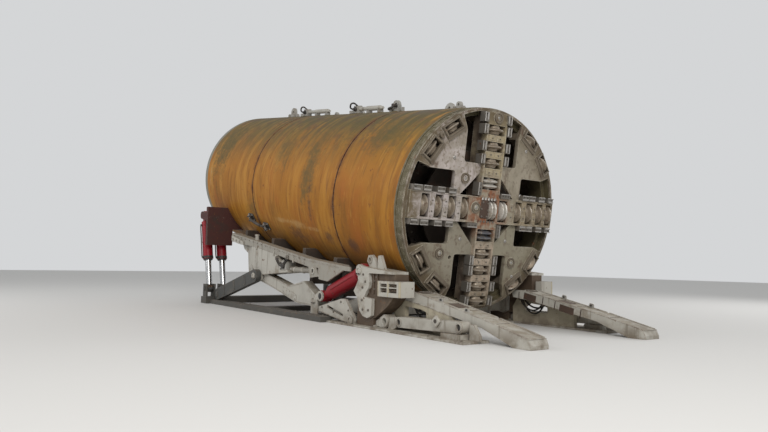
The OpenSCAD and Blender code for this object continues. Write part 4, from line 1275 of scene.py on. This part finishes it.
# Front cylinder: radius of its sleeve, and where its barrel ends, counted from the upper pin
FRONT_SLEEVE = 0.163
FRONT_BODY = (Vector(FRONT_LOW) - Vector(FRONT_TOP)).length - 0.27
LIFT_PORT = (0.06, 0.07, 0.06)
FRONT_PORT = (0.06, 0.07, 0.07)


def along_cylinder(side, top, low, out, far):
    """On a cylinder's axis, at a distance from its upper pin: Z down the axis, X away from the machine."""
    start = Vector((FACE.x + top[0], side * out, top[1]))
    end = Vector((FACE.x + low[0], side * out, low[1]))
    axis = (end - start).normalized()
    outward = Vector((0, side, 0))
    return basis(start + axis * far, outward, axis.cross(outward), axis)


def add_lift_details(side):
    """Gland nuts, ports, rigid pipes and straps of the lift cylinders."""
    glands = tray("lift_glands", "lift_barrel", "dark")
    straps = tray("lift_straps", "lift_barrel", "red")
    pipes = tray("lift_pipes", "lift_barrel", "leg")
    ports = tray("lift_ports", "lift_barrel", "dark")
    line = ((0.165, 0.0, 0.02), (0.19, 0.0, 0.06), (0.19, 0.0, 0.5), (0.19, 0.0, 1.0), (0.175, 0.0, 1.05))
    for out in LIFT_SIDES:
        nose = along_cylinder(side, LIFT_TOP, LIFT_LOW, out, 1.4)
        add_collar(glands, moved(nose, z=-0.08), 0.158, LIFT_TUBE, 0.07)
        add_collar(glands, nose, 0.135, 0.0925, 0.035)
        add_bolt_ring(glands, nose, 0.118, 12, 0.010)
        head = along_cylinder(side, LIFT_TOP, LIFT_LOW, out, 0.30)
        add_collar(straps, head, 0.16, LIFT_TUBE, 0.05)
        add_collar(straps, moved(head, z=0.55), 0.157, LIFT_TUBE, 0.04)
        add_pipe(pipes, head, line, 0.018, 8)
        for far in (0.0, 1.02):
            add_block(ports, moved(head, 0.155, 0, far), LIFT_PORT, 0.008)


def add_front_details(side):
    """Glands, sleeve, ports and rigid pipe of a front cylinder."""
    glands = tray("front_glands", "front_barrel", "red")
    ports = tray("front_ports", "front_barrel", "dark")
    nose = along_cylinder(side, FRONT_TOP, FRONT_LOW, SIDE_Y, 0.0)
    add_collar(glands, moved(nose, z=FRONT_BODY - 0.07), 0.15, FRONT_TUBE, 0.06)
    add_collar(glands, moved(nose, z=0.17), 0.148, FRONT_TUBE, 0.05)
    mouth = moved(nose, z=FRONT_BODY)
    add_bolt_ring(tray("front_gland_bolts", "front_barrel", "dark"), mouth, 0.12, 10, 0.009)
    sleeve = ((0.142, 0.27), (FRONT_SLEEVE - 0.012, 0.27), (FRONT_SLEEVE, 0.282),
              (FRONT_SLEEVE, FRONT_BODY - 0.06), (FRONT_SLEEVE - 0.012, FRONT_BODY - 0.048),
              (0.142, FRONT_BODY - 0.048))
    add_turned(tray("front_sleeves", "front_barrel", "red"), nose, sleeve, 40)
    for far in (0.3, FRONT_BODY - 0.2):
        add_block(ports, moved(nose, 0.13, 0.0, far), FRONT_PORT, 0.008)
    line = ((0.15, 0.0, 0.34), (0.165, 0.0, 0.45), (0.165, 0.0, 0.9), (0.165, 0.0, FRONT_BODY - 0.28),
            (0.15, 0.0, FRONT_BODY - 0.18))
    add_pipe(tray("front_pipes", "front_barrel", "red"), nose, line, 0.014, 8)


def add_leg_details(side):
    """The cap on a rear leg's foot, and bolted ribs across the leg."""
    add_turned(tray("leg_foot_caps", "rear_leg", "leg"), side_place(side, LEG_FOOT, 2.239),
               ((0.09, 0.0), (0.09, 0.014), (0.07, 0.02), (0.03, 0.02)))
    start, end = Vector(APEX), Vector(LEG_FOOT)
    slope = degrees(atan2(end.y - start.y, end.x - start.x))
    for share in (0.22, 0.5, 0.78):
        seat = turned(side_place(side, start.lerp(end, share), 2.24), slope)
        add_block(tray("leg_ribs", "rear_leg", "leg"), moved(seat, z=-0.003), (0.024, 0.27, 0.018), 0.004)
        add_bolts(tray("leg_bolts", "rear_leg", "bolt"), seat, ((0.07, -0.11), (0.07, 0.11)), -0.001, 0.016)


def add_link_details(side):
    """Edge welds, a bolted cover and the ring at the front pin of a main link."""
    welds = tray("link_welds", "main_link", "cradle")
    covers = tray("link_covers", "main_link", "cradle")
    seat = side_place(side, (0, 0), LINK_OUT + 0.004)
    add_weld(welds, seat, ((-6.5, 0.81), (-5.7, 0.64), (-4.36, 0.335), (-3.55, 0.305)), 0.008)
    add_weld(welds, seat, ((-5.93, 0.915), (-4.8, 0.675), (-4.1, 0.79)), 0.008)
    plate = turned(side_place(side, (-4.75, 0.52), LINK_OUT), -14)
    add_plate(covers, plate, rectangle(0.38, 0.07), 0.012)
    spots = [(x, y) for x in (-0.32, 0.0, 0.32) for y in (-0.045, 0.045)]
    add_bolts(tray("link_bolts", "main_link", "bolt"), plate, spots, 0.012, 0.011)
    add_collar(covers, side_place(side, LINK_PIN, LINK_OUT + 0.001), 0.138, 0.095, 0.03)


# Hoses
RAMP_HOSE_R = 0.019
RAIL_HOSE_R = 0.016
HOSE_POINTS = 22
FITTING_TURN = 15


def hose_line(first, last, sag):
    """Points of a hose that hangs between two fittings."""
    points = []
    for k in range(HOSE_POINTS):
        t = k / (HOSE_POINTS - 1)
        point = first.lerp(last, t)
        point.z -= sag * (1 - (2 * t - 1) ** 2) ** 0.8
        points.append(point)
    return points


def add_hose(kind, number, body, ends, sag, radius):
    """A hydraulic hose with the crimped fittings at its ends."""
    first, last = (Vector((FACE.x + x, y, z)) for x, y, z in ends)
    name = f"{kind}_hose_{'near' if first.y < 0 else 'far'}_{number}"
    points = hose_line(first, last, sag)
    data = bpy.data.curves.new(name, "CURVE")
    data.dimensions = "3D"
    data.bevel_depth = radius
    data.bevel_resolution = 4
    data.use_fill_caps = True
    spline = data.splines.new("POLY")
    spline.points.add(HOSE_POINTS - 1)
    for spot, point in zip(spline.points, points):
        spot.co = (*point, 1.0)
    data.materials.append(FINISHES["hose"])
    hose = new_object(name, data)
    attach(hose, body)
    fitting = ((1.25 * radius, 0.0), (1.25 * radius, 0.05), (1.6 * radius, 0.052), (1.6 * radius, 0.075),
               (1.1 * radius, 0.08), (1.1 * radius, 0.10))
    for end in (first, last):
        seat = turned(Matrix.Translation(end - UP * 0.05), FITTING_TURN)
        add_turned(tray(kind + "_hose_fittings", body, "bolt"), seat, fitting, 12)


def add_hoses(side):
    """Hoses under a ramp, seen through the bracket's window, and from the valve block on the rail."""
    for x, z in ((-0.40, 0.571), (0.22, 0.491)):
        block = level_place(x, side * 1.54, z)
        add_block(tray("ramp_manifolds", "base", "lug"), block, (0.10, 0.20, 0.03), 0.006)
    for number, out, sag in ((1, 1.48, 0.20), (2, 1.54, 0.27), (3, 1.60, 0.15)):
        ends = ((-0.40, side * out, 0.570), (0.22, side * out, 0.490))
        add_hose("ramp", number, "base", ends, sag, RAMP_HOSE_R)
    for number, rear, front, out, sag in ((1, -5.30, -4.80, 2.102, 0.16), (2, -5.37, -4.72, 2.108, 0.21)):
        ends = ((rear, side * out, 1.38), (front, side * out, 1.40))
        add_hose("rail", number, "machine", ends, sag, RAIL_HOSE_R)


# Stage
def add_stage():
    """A plain pale floor and a soft pale room."""
    bpy.ops.mesh.primitive_plane_add(size=120.0, location=(0, 0, -0.002))
    floor = bpy.context.object
    floor.name = "floor"
    pale = bpy.data.materials.new("floor_pale")
    pale.use_nodes = True
    shader = pale.node_tree.nodes["Principled BSDF"]
    shader.inputs["Base Color"].default_value = (0.62, 0.61, 0.59, 1)
    shader.inputs["Roughness"].default_value = 0.9
    floor.data.materials.append(pale)
    world = bpy.data.worlds.new("studio")
    world.use_nodes = True
    net = Net(world.node_tree)
    seen = net.node("ShaderNodeLightPath").outputs["Is Camera Ray"]
    shade = net.mix(seen, (0.58, 0.59, 0.60, 1), (0.66, 0.67, 0.68, 1))
    net.feed(shade, world.node_tree.nodes["Background"].inputs["Color"])
    bpy.context.scene.world = world


def add_lamp(name, at, aim, size, watts, colour=(1, 1, 1)):
    """A square lamp that points at a spot."""
    data = bpy.data.lights.new(name, "AREA")
    data.energy = watts
    data.size = size
    data.color = colour
    lamp = new_object(name, data)
    lamp.location = at
    lamp.rotation_euler = (Vector(aim) - Vector(at)).to_track_quat("-Z", "Y").to_euler()


def add_small_parts():
    """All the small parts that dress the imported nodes."""
    for add in (add_arm_details, add_scraper_details, add_boss_details, add_gauge_details, add_centre_details,
                add_spray_nozzles, add_rim_details, add_lug_details, add_shackle, add_top_rods,
                add_seam_clamps, add_inside_details):
        add()
    for side in SIDES:
        for add in (add_hoses, add_rail_details, add_rail_corner, add_valve_block, add_window_box,
                    add_drum_housing, add_cylinder_pins, add_base_pins, add_base_bolts, add_ramp_plates,
                    add_ramp_ends, add_lift_details, add_front_details, add_leg_details, add_link_details):
            add(side)


add_camera()
dress_nodes()
add_small_parts()
put_out_trays()
add_stage()
add_lamp("key", (18, -10, 11), (1, 0, 2), 8.0, 1950, (1.0, 0.98, 0.95))
add_lamp("fill", (-8, -17, 10), (-2, 0, 2), 10.0, 1000)
add_lamp("far", (6, 16, 10), (0, 0, 2), 10.0, 850)

bpy.context.scene.view_settings.view_transform = "Standard"
